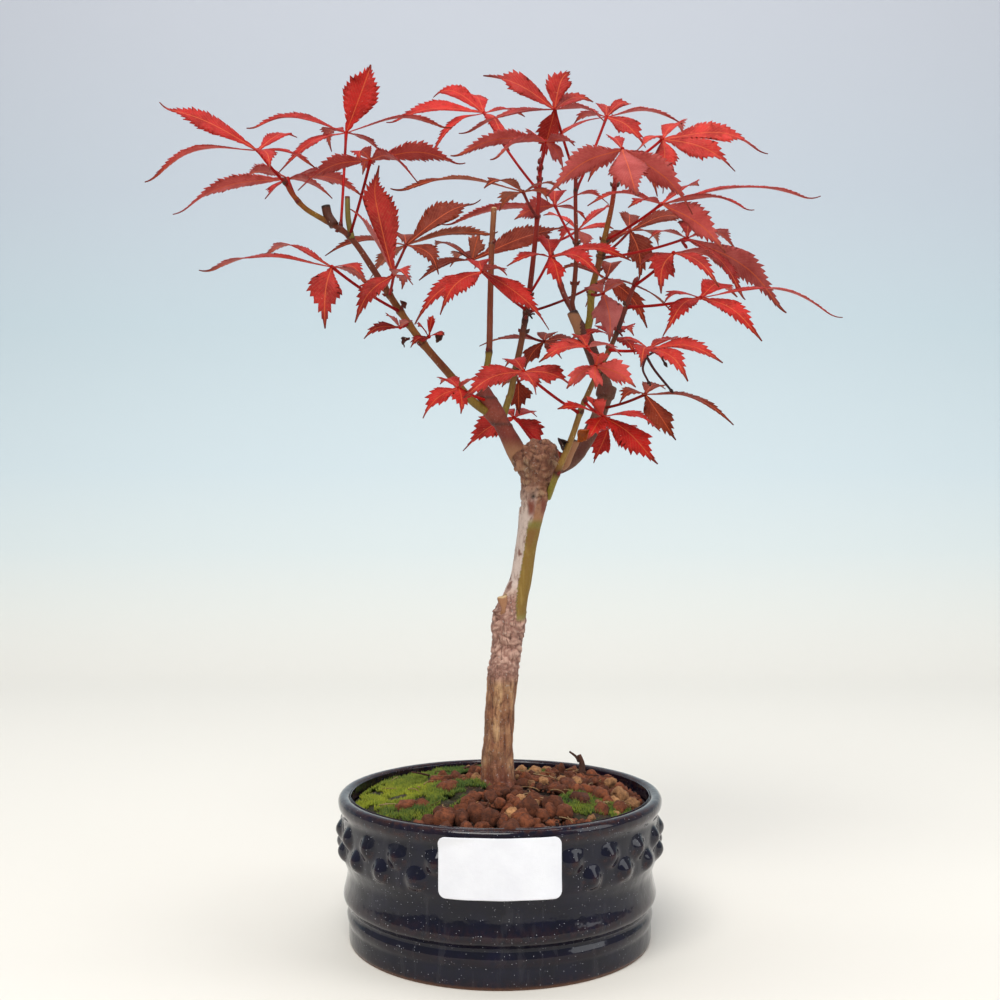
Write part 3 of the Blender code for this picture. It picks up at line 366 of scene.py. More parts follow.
class Skin:
    """One piece while it is made: its points, faces and painted values."""

    def __init__(self):
        self.points, self.faces, self.paint, self.rib, self.count = [], [], [], [], 0

    def add(self, points, faces, paint=(0.5, 0.5, 0.5), rib=(0, 0, 0, 0)):
        points = np.asarray(points, float).reshape(-1, 3)
        n = len(points)
        self.faces += (np.asarray(faces) + self.count).tolist()
        self.points.append(points)
        self.paint.append(np.broadcast_to(np.asarray(paint, float), (n, 3)))
        self.rib.append(np.broadcast_to(np.asarray(rib, float), (n, 4)))
        self.count += n

    def tube(self, path, radii, sides=8, paint=(0.5, 0.5, 0.5), rib=(0, 0, 0, 0)):
        """A closed round skin along a path."""
        path, radii = np.asarray(path, float), np.broadcast_to(np.asarray(radii, float), (len(path),))
        _, side, over = frames(path)
        turn = 2 * np.pi * np.arange(sides) / sides
        ring = np.cos(turn)[None, :, None] * side[:, None] + np.sin(turn)[None, :, None] * over[:, None]
        points = path[:, None] + ring * radii[:, None, None]
        rows = len(path)
        paint = np.broadcast_to(np.asarray(paint, float), (rows, 3))
        self.add(np.concatenate([points.reshape(-1, 3), path[:1], path[-1:]]), np.zeros((0, 4), int),
                 np.concatenate([np.repeat(paint, sides, 0), paint[:1], paint[-1:]]), rib)
        start = self.count - rows * sides - 2
        self.faces += (grid(rows, sides, True) + start).tolist()
        first, last = start + rows * sides, start + rows * sides + 1
        for k in range(sides):
            m = (k + 1) % sides
            self.faces.append([first, start + m, start + k])
            self.faces.append([last, last - 1 - sides + k, last - 1 - sides + m])

    def sheet(self, points, faces, thick, paint, rib):
        """A thin closed sheet: the points on top, a second layer under them and a rim."""
        points, faces = np.asarray(points, float), np.asarray(faces)
        n = len(points)
        a, b, c, d = (points[faces[:, k]] for k in range(4))
        flat = np.cross(c - a, d - b)
        normal = np.zeros_like(points)
        for k in range(4):
            np.add.at(normal, faces[:, k], flat)
        under = points - unit(normal) * np.broadcast_to(thick, (n,))[:, None]
        edges = {}
        for face in faces.tolist():
            for p, q in zip(face, face[1:] + face[:1]):
                if (q, p) in edges:
                    del edges[(q, p)]
                else:
                    edges[(p, q)] = True
        rim = [[q, p, p + n, q + n] for p, q in edges]
        low = np.array(rib, float)
        low[:, 3] = 1.0
        self.add(np.concatenate([points, under]),
                 np.concatenate([faces, faces[:, ::-1] + n, np.array(rim)]),
                 np.concatenate([paint, paint]), np.concatenate([rib, low]))

    def make(self, name, stuff, nodes):
        """The finished piece, in the scene in place of its CAD nodes."""
        mesh = bpy.data.meshes.new(name)
        mesh.from_pydata(np.concatenate(self.points).tolist(), [], self.faces)
        paint = np.concatenate(self.paint)
        layer = mesh.attributes.new("paint", "FLOAT_COLOR", "POINT")
        layer.data.foreach_set("color", np.c_[paint, np.ones(len(paint))].astype(np.float32).ravel())
        layer = mesh.attributes.new("rib", "FLOAT_COLOR", "POINT")
        layer.data.foreach_set("color", np.concatenate(self.rib).astype(np.float32).ravel())
        mesh.validate()
        mesh.shade_smooth()
        mesh.materials.append(stuff)
        piece = bpy.data.objects.new(name, mesh)
        bpy.context.scene.collection.objects.link(piece)
        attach(piece, "root")
        if nodes:
            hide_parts(*nodes)
        return piece


# --- materials -------------------------------------------------------------------
class Finish:
    """A material's nodes, with short calls that add and join them."""

    def __init__(self, name):
        self.material = bpy.data.materials.new(name)
        self.material.use_nodes = True
        self.tree = self.material.node_tree
        self.tree.nodes.clear()
        self.out = self.tree.nodes.new("ShaderNodeOutputMaterial")
        self.place = self.add("TexCoord").outputs["Object"]

    def join(self, socket, value):
        if isinstance(value, bpy.types.NodeSocket):
            self.tree.links.new(value, socket)
        else:
            socket.default_value = value

    def add(self, kind, settings=(), **values):
        made = self.tree.nodes.new("ShaderNode" + kind)
        for key, value in settings:
            setattr(made, key, value)
        for key, value in values.items():
            self.join(made.inputs[key.replace("_", " ")], value)
        return made

    def math(self, kind, a, b=0.0):
        made = self.add("Math", (("operation", kind),))
        self.join(made.inputs[0], a)
        if len(made.inputs) > 1:
            self.join(made.inputs[1], b)
        return made.outputs[0]

    def mix(self, share, a, b, kind="MIX"):
        made = self.add("Mix", (("data_type", "RGBA"), ("blend_type", kind)))
        self.join(made.inputs[0], share)
        for socket, value in ((made.inputs[6], a), (made.inputs[7], b)):
            tone = isinstance(value, (tuple, list)) and len(value) == 3
            self.join(socket, (*value, 1.0) if tone else value)
        return made.outputs[2]

    def stretched(self, scale):
        made = self.add("Mapping", Vector=self.place)
        made.inputs["Scale"].default_value = scale
        return made.outputs[0]

    def grain(self, size, detail=3.0, rough=0.55, at=None, warp=0.0):
        made = self.add("TexNoise", Vector=at or self.place, Scale=1.0 / size, Detail=detail,
            Roughness=rough)
        made.inputs["Distortion"].default_value = warp
        return made.outputs["Fac"]

    def cells(self, size, feature="F1", output="Distance", at=None):
        made = self.add("TexVoronoi", (("feature", feature),), Vector=at or self.place, Scale=1.0 / size)
        return made.outputs[output]

    def step(self, value, low, high, to_low=0.0, to_high=1.0):
        made = self.add("MapRange", (("interpolation_type", "SMOOTHSTEP"),), Value=value)
        for key, number in zip(("From Min", "From Max", "To Min", "To Max"), (low, high, to_low, to_high)):
            made.inputs[key].default_value = number
        return made.outputs[0]

    def painted(self, name):
        return self.add("Attribute", (("attribute_name", name),))

    def bump(self, height, distance, strength=1.0):
        made = self.add("Bump", Height=height)
        made.inputs["Distance"].default_value = distance
        made.inputs["Strength"].default_value = strength
        return made.outputs[0]

    def surface(self, colour, roughness, normal=None, **fixed):
        made = self.add("BsdfPrincipled", Roughness=roughness)
        self.join(made.inputs["Base Color"], (*colour, 1.0) if isinstance(colour, tuple) else colour)
        for key, value in fixed.items():
            made.inputs[key.replace("_", " ")].default_value = value
        if normal is not None:
            self.join(made.inputs["Normal"], normal)
        return made.outputs[0]

    def done(self, shader):
        self.tree.links.new(shader, self.out.inputs["Surface"])
        return self.material


def glaze_finish(colours):
    """Dark navy glaze: brown where thin, fine white specks, drips, and a bare foot."""
    f = Finish("navy_glaze")
    thin = f.painted("rib")
    parts = f.add("SeparateColor", Color=thin.outputs["Color"])
    cloud = f.grain(0.009, 4)
    drips = f.grain(0.004, 3, at=f.stretched((1, 1, 0.12)), warp=0.4)
    base = f.mix(f.step(cloud, 0.35, 0.7), (*colours.glaze_deep,), (*colours.glaze,))
    base = f.mix(f.step(drips, 0.56, 0.68, 0.0, 0.55), base, (0.022, 0.022, 0.03))
    worn = f.math("MULTIPLY", parts.outputs["Red"], f.step(f.grain(0.0022, 4), 0.32, 0.62))
    base = f.mix(worn, base, (*colours.glaze_thin,))
    speck = f.cells(0.00085)
    chance = f.add("SeparateColor", Color=f.cells(0.00085, output="Color")).outputs["Red"]
    dots = f.math("MULTIPLY", f.step(speck, 0.10, 0.17, 1.0, 0.0), f.step(chance, 0.72, 0.75))
    large = f.cells(0.0042)
    pits = f.step(large, 0.03, 0.05, 1.0, 0.0)
    base = f.mix(f.math("MULTIPLY", f.math("MAXIMUM", dots, pits), parts.outputs["Blue"]), base,
        (0.42, 0.43, 0.46))
    bare = parts.outputs["Green"]
    clay = f.mix(f.grain(0.0012, 4), (0.10, 0.035, 0.012), (0.24, 0.09, 0.03))
    base = f.mix(bare, base, clay)
    rough = f.math("ADD", f.step(f.grain(0.003, 4), 0.3, 0.8, 0.06, 0.16), f.math("MULTIPLY", bare, 0.6))
    height = f.math("ADD", f.math("MULTIPLY", f.grain(0.006, 2), 0.8), f.math("MULTIPLY", dots, 0.10))
    normal = f.bump(height, 0.0005, 0.5)
    return f.done(f.surface(base, rough, normal, Coat_Weight=0.12, Coat_Roughness=0.04, IOR=1.36))


def mesh_finish():
    f = Finish("mesh_plastic")
    base = f.mix(f.grain(0.002, 4), (0.012, 0.012, 0.013), (0.035, 0.034, 0.03))
    return f.done(f.surface(base, f.step(f.grain(0.001), 0.3, 0.7, 0.4, 0.65),
        f.bump(f.grain(0.0006, 3), 0.0002)))


def paper_finish(colours):
    """Coated white label paper: nearly smooth, a little greyer in patches."""
    f = Finish("label_paper")
    tone = f.mix(f.grain(0.012, 3), (*colours.paper,), (0.72, 0.73, 0.78))
    tone = f.mix(f.step(f.grain(0.0004, 2), 0.62, 0.8, 0.0, 0.12), tone, (0.55, 0.55, 0.57))
    height = f.math("ADD", f.grain(0.0003, 3), f.math("MULTIPLY", f.grain(0.005, 2), 3.0))
    return f.done(f.surface(tone, f.step(f.grain(0.002), 0.3, 0.7, 0.32, 0.45), f.bump(height, 0.00008)))


def soil_finish(colours):
    f = Finish("soil")
    base = f.mix(f.step(f.grain(0.003, 5), 0.35, 0.65), (0.018, 0.010, 0.007), (*colours.soil,))
    base = f.mix(f.step(f.cells(0.0016), 0.1, 0.35, 0.5, 0.0), base, (0.16, 0.07, 0.035))
    height = f.math("ADD", f.grain(0.0011, 5, 0.7), f.cells(0.0012))
    return f.done(f.surface(base, 0.93, f.bump(height, 0.0007)))


def painted_finish(name, fine, depth, rough, spread=0.45, sheen=0.0):
    """Crumbly or mossy stuff: painted colour, broken up by grain of the given size, with painted shade in
    its pits.
    """
    f = Finish(name)
    paint = f.painted("paint").outputs["Color"]
    dark = f.mix(1.0, paint, (0.42, 0.38, 0.36), "MULTIPLY")
    light = f.mix(0.35, paint, (0.95, 0.75, 0.55), "SOFT_LIGHT")
    tone = f.mix(f.step(f.grain(fine * 3, 5, 0.65), 0.5 - spread / 2, 0.5 + spread / 2), dark, light)
    pits = f.cells(fine * 1.3)
    # painted shade: the pits of the bump are painted darker
    tone = f.mix(f.step(pits, 0.08, 0.32, 0.5, 0.0), tone, dark)
    height = f.math("ADD", f.grain(fine, 5, 0.7), f.math("MULTIPLY", f.step(pits, 0.0, 0.4), 0.7))
    return f.done(f.surface(tone, rough, f.bump(height, depth), Sheen_Weight=sheen))


def moss_finish():
    f = Finish("moss")
    paint = f.painted("paint").outputs["Color"]
    tone = f.mix(f.step(f.grain(0.004, 3), 0.35, 0.7), paint,
        f.mix(1.0, paint, (0.62, 0.75, 0.55), "MULTIPLY"))
    tone = f.mix(f.step(f.grain(0.0006, 2), 0.62, 0.72, 0.0, 0.5), tone, (0.55, 0.50, 0.10))
    body = f.surface(tone, 0.7, f.bump(f.grain(0.0004, 2), 0.0002))
    glow = f.add("BsdfTranslucent", Color=tone).outputs[0]
    made = f.add("MixShader", Fac=0.18)
    f.join(made.inputs[1], body)
    f.join(made.inputs[2], glow)
    return f.done(made.outputs[0])


def bark_finish():
    """Old bark: the painted colour, with fissures, flakes, pale crust and speckles."""
    f = Finish("bark")
    paint = f.painted("paint").outputs["Color"]
    roughness = f.add("SeparateColor", Color=f.painted("rib").outputs["Color"]).outputs["Red"]
    fibres = f.grain(0.0016, 5, 0.65, at=f.stretched((1, 1, 0.28)), warp=0.6)
    flakes = f.grain(0.0008, 4, 0.6)
    dark = f.mix(1.0, paint, (0.46, 0.36, 0.31), "MULTIPLY")
    light = f.mix(0.5, paint, (0.92, 0.84, 0.78), "SOFT_LIGHT")
    tone = f.mix(f.step(fibres, 0.32, 0.54), dark, light)
    tone = f.mix(roughness, paint, tone)
    specks = f.math("MULTIPLY", f.step(flakes, 0.60, 0.70, 0.0, 0.6), roughness)
    tone = f.mix(specks, tone, (0.13, 0.055, 0.03))
    crust = f.math("MULTIPLY", f.step(f.grain(0.0009, 3, 0.5), 0.63, 0.70, 0.0, 0.55), roughness)
    tone = f.mix(crust, tone, (0.42, 0.38, 0.34))
    height = f.math("ADD", fibres, f.math("MULTIPLY", flakes, 0.5))
    height = f.math("MULTIPLY", height, f.math("ADD", roughness, 0.15))
    return f.done(f.surface(tone, f.step(flakes, 0.3, 0.7, 0.55, 0.85), f.bump(height, 0.0007)))


def shoot_finish():
    """Young bark: smooth and satin, with fine length-wise lines and small pale pores."""
    f = Finish("shoot_bark")
    paint = f.painted("paint").outputs["Color"]
    lines = f.grain(0.0006, 4, 0.6, at=f.stretched((1, 1, 0.16)))
    tone = f.mix(f.step(lines, 0.38, 0.62), f.mix(1.0, paint, (0.80, 0.72, 0.68), "MULTIPLY"), paint)
    tone = f.mix(f.step(f.grain(0.005, 3), 0.5, 0.72, 0.0, 0.35), tone,
        f.mix(1.0, paint, (0.8, 0.42, 0.34), "MULTIPLY"))
    pores = f.step(f.cells(0.0019, at=f.stretched((1, 1, 0.6))), 0.07, 0.12, 0.75, 0.0)
    tone = f.mix(pores, tone, (0.50, 0.40, 0.28))
    height = f.math("ADD", lines, pores)
    return f.done(f.surface(tone, f.step(lines, 0.3, 0.7, 0.42, 0.58), f.bump(height, 0.00014), IOR=1.36))


def leaf_finish(name, upper, under, colours):
    """Thin red leaf: midrib and side veins, mottling, pinholes and a paler underside."""
    f = Finish(name)
    rib = f.add("SeparateColor", Color=f.painted("rib").outputs["Color"])
    below = f.painted("rib").outputs["Alpha"]
    tint = f.painted("paint").outputs["Color"]
    lateral, along, share = rib.outputs["Red"], rib.outputs["Green"], rib.outputs["Blue"]
    out = f.math("ABSOLUTE", lateral)
    reach = f.math("SUBTRACT", along, f.math("MULTIPLY", out, 1.25))
    ripple = f.math("SINE", f.math("MULTIPLY", reach, 2 * math.pi / VEIN_PITCH))
    veins = f.step(ripple, 0.86, 1.0)
    netting = f.step(f.cells(0.0009, "DISTANCE_TO_EDGE"), 0.0, 0.10, 1.0, 0.0)
    middle = f.step(out, 0.10, 0.32, 1.0, 0.0)
    mottle = f.grain(0.006, 4, 0.6)
    fine = f.grain(0.0012, 3)
    face = f.mix(f.step(mottle, 0.38, 0.68), upper, f.mix(1.0, upper, (0.62, 0.5, 0.5), "MULTIPLY"))
    face = f.mix(f.step(fine, 0.5, 0.75, 0.0, 0.3), face, f.mix(0.3, upper, (0.85, 0.28, 0.10)))
    back = f.mix(f.step(mottle, 0.35, 0.7), under, f.mix(1.0, under, (0.8, 0.62, 0.62), "MULTIPLY"))
    tone = f.mix(below, face, back)
    tone = f.mix(1.0, tone, tint, "MULTIPLY")
    tone = f.mix(f.math("MULTIPLY", netting, 0.14), tone, f.mix(1.0, tone, (0.5, 0.4, 0.4), "MULTIPLY"))
    tone = f.mix(f.math("MULTIPLY", veins, 0.35), tone, f.mix(0.55, tone, (0.80, 0.24, 0.12)))
    tone = f.mix(f.math("MULTIPLY", middle, 0.7), tone, (*colours.leaf_rib,))
    tail = f.step(share, 0.80, 1.0, 0.0, 0.75)
    tone = f.mix(tail, tone, (0.075, 0.010, 0.010))
    spots = f.cells(0.0031)
    tone = f.mix(f.step(spots, 0.035, 0.06, 0.65, 0.0), tone, (0.80, 0.42, 0.34))
    height = f.math("SUBTRACT", f.math("MULTIPLY", fine, 0.35),
        f.math("ADD", veins, f.math("MULTIPLY", netting, 0.4)))
    normal = f.bump(height, 0.00022, 0.8)
    body = f.surface(tone, f.step(mottle, 0.3, 0.7, 0.42, 0.6), normal, IOR=1.3)
    glow = f.add("BsdfTranslucent", Color=f.mix(1.0, tone, (1.0, 0.75, 0.6), "MULTIPLY")).outputs[0]
    made = f.add("MixShader", Fac=0.22)
    f.join(made.inputs[1], body)
    f.join(made.inputs[2], glow)
    return f.done(made.outputs[0])


# --- pot, mesh and label -----------------------------------------------------------
def inner_radius(z, sizes):
    return sizes.rim_radius - sizes.lip - sizes.draft * (1 - z / POT_HIGH.z)


def pot_outline(sizes):
    """Radius, height, thin-glaze and bare-clay shares from the drain hole out, up and down inside."""
    r, top = sizes.rim_radius, POT_HIGH.z
    wall, foot, band, hole = r - 0.0015, r - 0.0045, top - BAND_DEPTH, 0.008
    ring, bulge = foot - 0.006, r - 0.0026
    rows = [
        (hole, 0.0045, 0, 1), (hole, 0.0027, 0, 1), (hole + 0.002, 0.0025, 0, 1),
        (ring - 0.002, 0.0025, 0, 1), (ring - 0.0006, 0.0018, 0, 1), (ring, 0.0002, 0, 1),
        (ring + 0.0006, 0.0, 0, 1), (foot - 0.0012, 0.0, 0, 1), (foot - 0.0004, 0.0004, 0.2, 0.7),
        (foot - 0.0001, 0.0011, 0.8, 0.2), (foot, 0.0017, 0.3, 0), (foot, 0.005, 0, 0),
        (foot, 0.249 * band - 0.0006, 0, 0), (foot + 0.0003, 0.249 * band, 0.1, 0),
        (bulge - 0.0012, 0.31 * band, 0.15, 0), (bulge - 0.0014, 0.345 * band, 0.05, 0),
        (r - 0.0047, 0.385 * band, 0, 0), (r - 0.0048, 0.42 * band, 0, 0),
        (bulge - 0.0011, 0.465 * band, 0.1, 0), (bulge - 0.0001, 0.503 * band, 0.2, 0),
        (bulge + 0.0003, 0.55 * band, 0.3, 0), (bulge, 0.599 * band, 0.2, 0),
        (r - 0.0034, 0.7 * band, 0, 0), (r - 0.0038, 0.819 * band, 0, 0),
        (r - 0.0028, 0.92 * band, 0, 0), (wall - 0.0002, band, 0.1, 0), (wall, band + 0.003, 0, 0),
        (wall, top - 0.0165, 0, 0), (wall, top - 0.01, 0, 0), (wall - 0.0002, top - 0.0075, 0, 0),
        (r - 0.0009, top - 0.0056, 0.1, 0), (r - 0.0002, top - 0.0042, 0.5, 0),
        (r, top - 0.0026, 0.15, 0), (r - 0.0003, top - 0.0012, 0.25, 0),
        (r - 0.0011, top - 0.0003, 0.75, 0), (r - 0.0021, top, 0.35, 0),
        (r - 0.0033, top - 0.0001, 0.5, 0), (r - 0.0043, top - 0.0006, 0.9, 0),
        (r - 0.005, top - 0.0018, 0.7, 0), (inner_radius(top - 0.004, sizes), top - 0.004, 0.25, 0),
        (inner_radius(0.0095, sizes), 0.0095, 0, 0.3),
        (inner_radius(0.0065, sizes) - 0.0028, 0.0066, 0, 1), (hole + 0.0008, 0.0065, 0, 1),
        (hole, 0.0057, 0, 1), (hole, 0.0045, 0, 1),
    ]
    small = np.array((1, 1, 1e-6, 1e-6))
    return even_path(np.array(rows) * small, OUTLINE_STEP) / small


def make_pot(sizes, colours):
    """Turned pot with two staggered rows of raised studs."""
    line = pot_outline(sizes)
    turns = np.arange(POT_TURNS) * 2 * np.pi / POT_TURNS
    radius, z, thin, bare = (line[:, k][:, None] + 0 * turns[None] for k in range(4))
    turn = turns[None] + 0 * radius
    outside = (soft(radius, sizes.rim_radius - 0.0045, sizes.rim_radius - 0.003)
        * (z > POT_HIGH.z - BAND_DEPTH))
    swell = np.zeros_like(radius)
    for below, quarter in STUD_ROWS:
        for n in range(STUDS_PER_ROW):
            centre = -np.pi / 2 + STUD_TURN + 2 * np.pi * (n + quarter / 4) / STUDS_PER_ROW
            away = (turn - centre + np.pi) % (2 * np.pi) - np.pi
            wide, high = 0.0052 + 0.0003 * math.sin(3 * n + quarter), 0.0050
            d = np.hypot(away * sizes.rim_radius / wide, (z - POT_HIGH.z + below) / high)
            swell = swell + np.clip(1 - d ** 1.9, 0, 1) ** 1.45
            near = (np.abs(away) < 0.12) * outside
            thin = thin + 0.45 * np.exp(-((d - 0.1) / 0.22) ** 2) * near
            thin = thin + 0.45 * np.exp(-((d - 0.75) / 0.14) ** 2) * (z < POT_HIGH.z - below) * near
    radius = radius + swell * sizes.stud * outside
    points = np.stack([radius * np.cos(turn), radius * np.sin(turn), z], -1).reshape(-1, 3)
    lumps = (noise(points, 0.012, 3, 2)[:, None] * 0.00022
        * np.c_[np.cos(turn).ravel(), np.sin(turn).ravel(), 0 * turn.ravel()])
    keep = soft(points[:, 2], 0.003, 0.007)[:, None]
    within = soft(np.hypot(points[:, 0], points[:, 1]), 0.02, 0.03)[:, None]
    points = points + lumps * keep * within
    skin = Skin()
    outer_face = (np.arange(len(line)) < np.argmax(line[:, 1]) + 6)[:, None] + 0 * turn
    rib = np.stack([np.clip(thin, 0, 1), bare, 0.35 + 0.65 * outer_face, 0 * bare], -1).reshape(-1, 4)
    skin.add(points, grid(len(line), POT_TURNS, True), (0.5, 0.5, 0.5), rib)
    return skin.make("pot_body", glaze_finish(colours), ["pot"])


def make_label(colours):
    """Blank sticker on the front of the wall, with one corner a little lifted."""
    half = (LABEL_HIGH - LABEL_LOW) / 2
    radius = -LABEL_LOW.y
    wide, tall = math.asin(half.x / radius) * radius, half.z
    middle = (LABEL_LOW.z + LABEL_HIGH.z) / 2
    u, v = np.meshgrid(np.linspace(-1, 1, 121), np.linspace(-1, 1, 61))
    corner = 0.0028
    out_x, out_z = np.abs(u) * wide - (wide - corner), np.abs(v) * tall - (tall - corner)
    over = np.clip(np.hypot(np.maximum(out_x, 0), np.maximum(out_z, 0)) / corner, 1, None)
    both = (out_x > 0) & (out_z > 0)
    x = np.where(both, np.sign(u) * (wide - corner + out_x / over), u * wide)
    z = np.where(both, np.sign(v) * (tall - corner + out_z / over), v * tall)
    lift = 0.0011 * soft(-x / wide * 0.6 + z / tall * 0.9, 1.05, 1.5)
    lift += (0.0003 * soft(x / wide - z / tall, 1.2, 2.0)
        + 0.00012 * np.sin(420 * x + 1) * soft(np.abs(z) / tall, 0.6, 1))
    r = radius - 0.0001 + lift
    points = np.stack([r * np.sin(x / radius), -r * np.cos(x / radius), middle + z], -1).reshape(-1, 3)
    skin = Skin()
    skin.sheet(points, grid(61, 121), 0.00022, np.full((len(points), 3), 0.8), np.zeros((len(points), 4)))
    return skin.make("label_sheet", paper_finish(colours), ["label"])


# --- ground ----------------------------------------------------------------------------
def soil_top(x, y, sizes):
    reach = np.minimum(np.hypot(x, y) / inner_radius(POT_HIGH.z, sizes), 1.0)
    return POT_HIGH.z - SOIL_EDGE + GROUND_RISE * (1 - reach ** 1.6)


def make_soil(sizes, colours):
    """Crumbly root ball, closed underneath so that the drain hole shows soil."""
    edge = inner_radius(POT_HIGH.z - SOIL_EDGE, sizes) - 0.0005
    shares = np.r_[np.linspace(0.0, 1, 96) ** 0.8]
    turns = np.arange(240) * 2 * np.pi / 240
    r, turn = np.meshgrid(shares * edge, turns, indexing="ij")
    x, y = r * np.cos(turn), r * np.sin(turn)
    z = soil_top(x, y, sizes)
    spots = np.stack([x, y, z], -1)
    z = (z + (noise(spots, 0.0032, 5, 3) * 0.0011 + noise(spots, 0.009, 9) * 0.0008 - 0.0006)
        * soft(edge - r, 0, 0.003))
    top = np.stack([x, y, z], -1)
    low = inner_radius(0.0085, sizes) - 0.0016
    rings = [top[::-1]]
    for radius, height in ((inner_radius(0.012, sizes) - 0.0008, 0.0125), (low, 0.0095),
                           (low - 0.003, 0.0083), (0.0001, 0.0083)):
        ring = np.stack([radius * np.cos(turns), radius * np.sin(turns), height + 0 * turns], -1)
        rings.append(ring[None])
    points = np.concatenate(rings)
    skin = Skin()
    skin.add(points, grid(len(points), 240, True)[:, ::-1], (0.1, 0.05, 0.03))
    return skin.make("soil_bed", soil_finish(colours), ["soil"])


PATCHES = {
    "moss_left": (168, 238, 0.0242, 0.0575), "moss_trunk": (168, 238, 0.0088, 0.0242),
    "moss_back": (60, 168, 0.0310, 0.0575), "moss_front": (306, 336, 0.0300, 0.0575),
    "gravel_back": (60, 168, 0.0088, 0.0310), "gravel_front": (238, 306, 0.0088, 0.0575),
    "gravel_right": (336, 420, 0.0088, 0.0575),
}


def scattered(patch, pitch, seed, slack=0.0):
    """Evenly jittered places in one patch of ground."""
    first, last, inner, outer = PATCHES[patch]
    reach = np.arange(-0.06, 0.06, pitch)
    x, y = (a.ravel() for a in np.meshgrid(reach, reach))
    dice = np.random.default_rng(seed)
    x = x + (np.floor(y / pitch + 0.5) % 2) * pitch / 2 + dice.uniform(-0.42, 0.42, x.shape) * pitch
    y = y + dice.uniform(-0.42, 0.42, y.shape) * pitch
    turn = (np.degrees(np.arctan2(y, x)) - first) % 360 + first
    r = np.hypot(x, y)
    wander = noise(np.stack([x, y, 0 * x], -1), 0.008, 21) * 5
    inside = (turn > first - slack + wander) & (turn < last + slack + wander) & (r > inner) & (r < outer)
    return x[inside], y[inside], dice


MOSS_SPIKES = 6
SPIKE_CORNERS = (0.5, 2.6, 4.7)             # radians round a spike
SPIKE_SIDES = ((0, 1), (1, 2), (2, 0))
MOSS_COVER = {  # moss grows where the noise is below this
    "moss_left": 0.24, "moss_trunk": 0.30, "moss_back": 0.10, "moss_front": 0.10,
}


def moss_height(x, y, patch, sizes):
    spots = np.stack([x, y, 0 * x], -1)
    mound = 0.0021 + 0.0013 * noise(spots, 0.011, 31, 2) + 0.0009 * noise(spots, 0.0035, 33)
    outer = PATCHES[patch][3]
    r = np.hypot(x, y)
    return soil_top(x, y, sizes) + np.maximum(mound, 0.0004) * (0.35 + 0.65 * soft(outer - r, 0, 0.004))


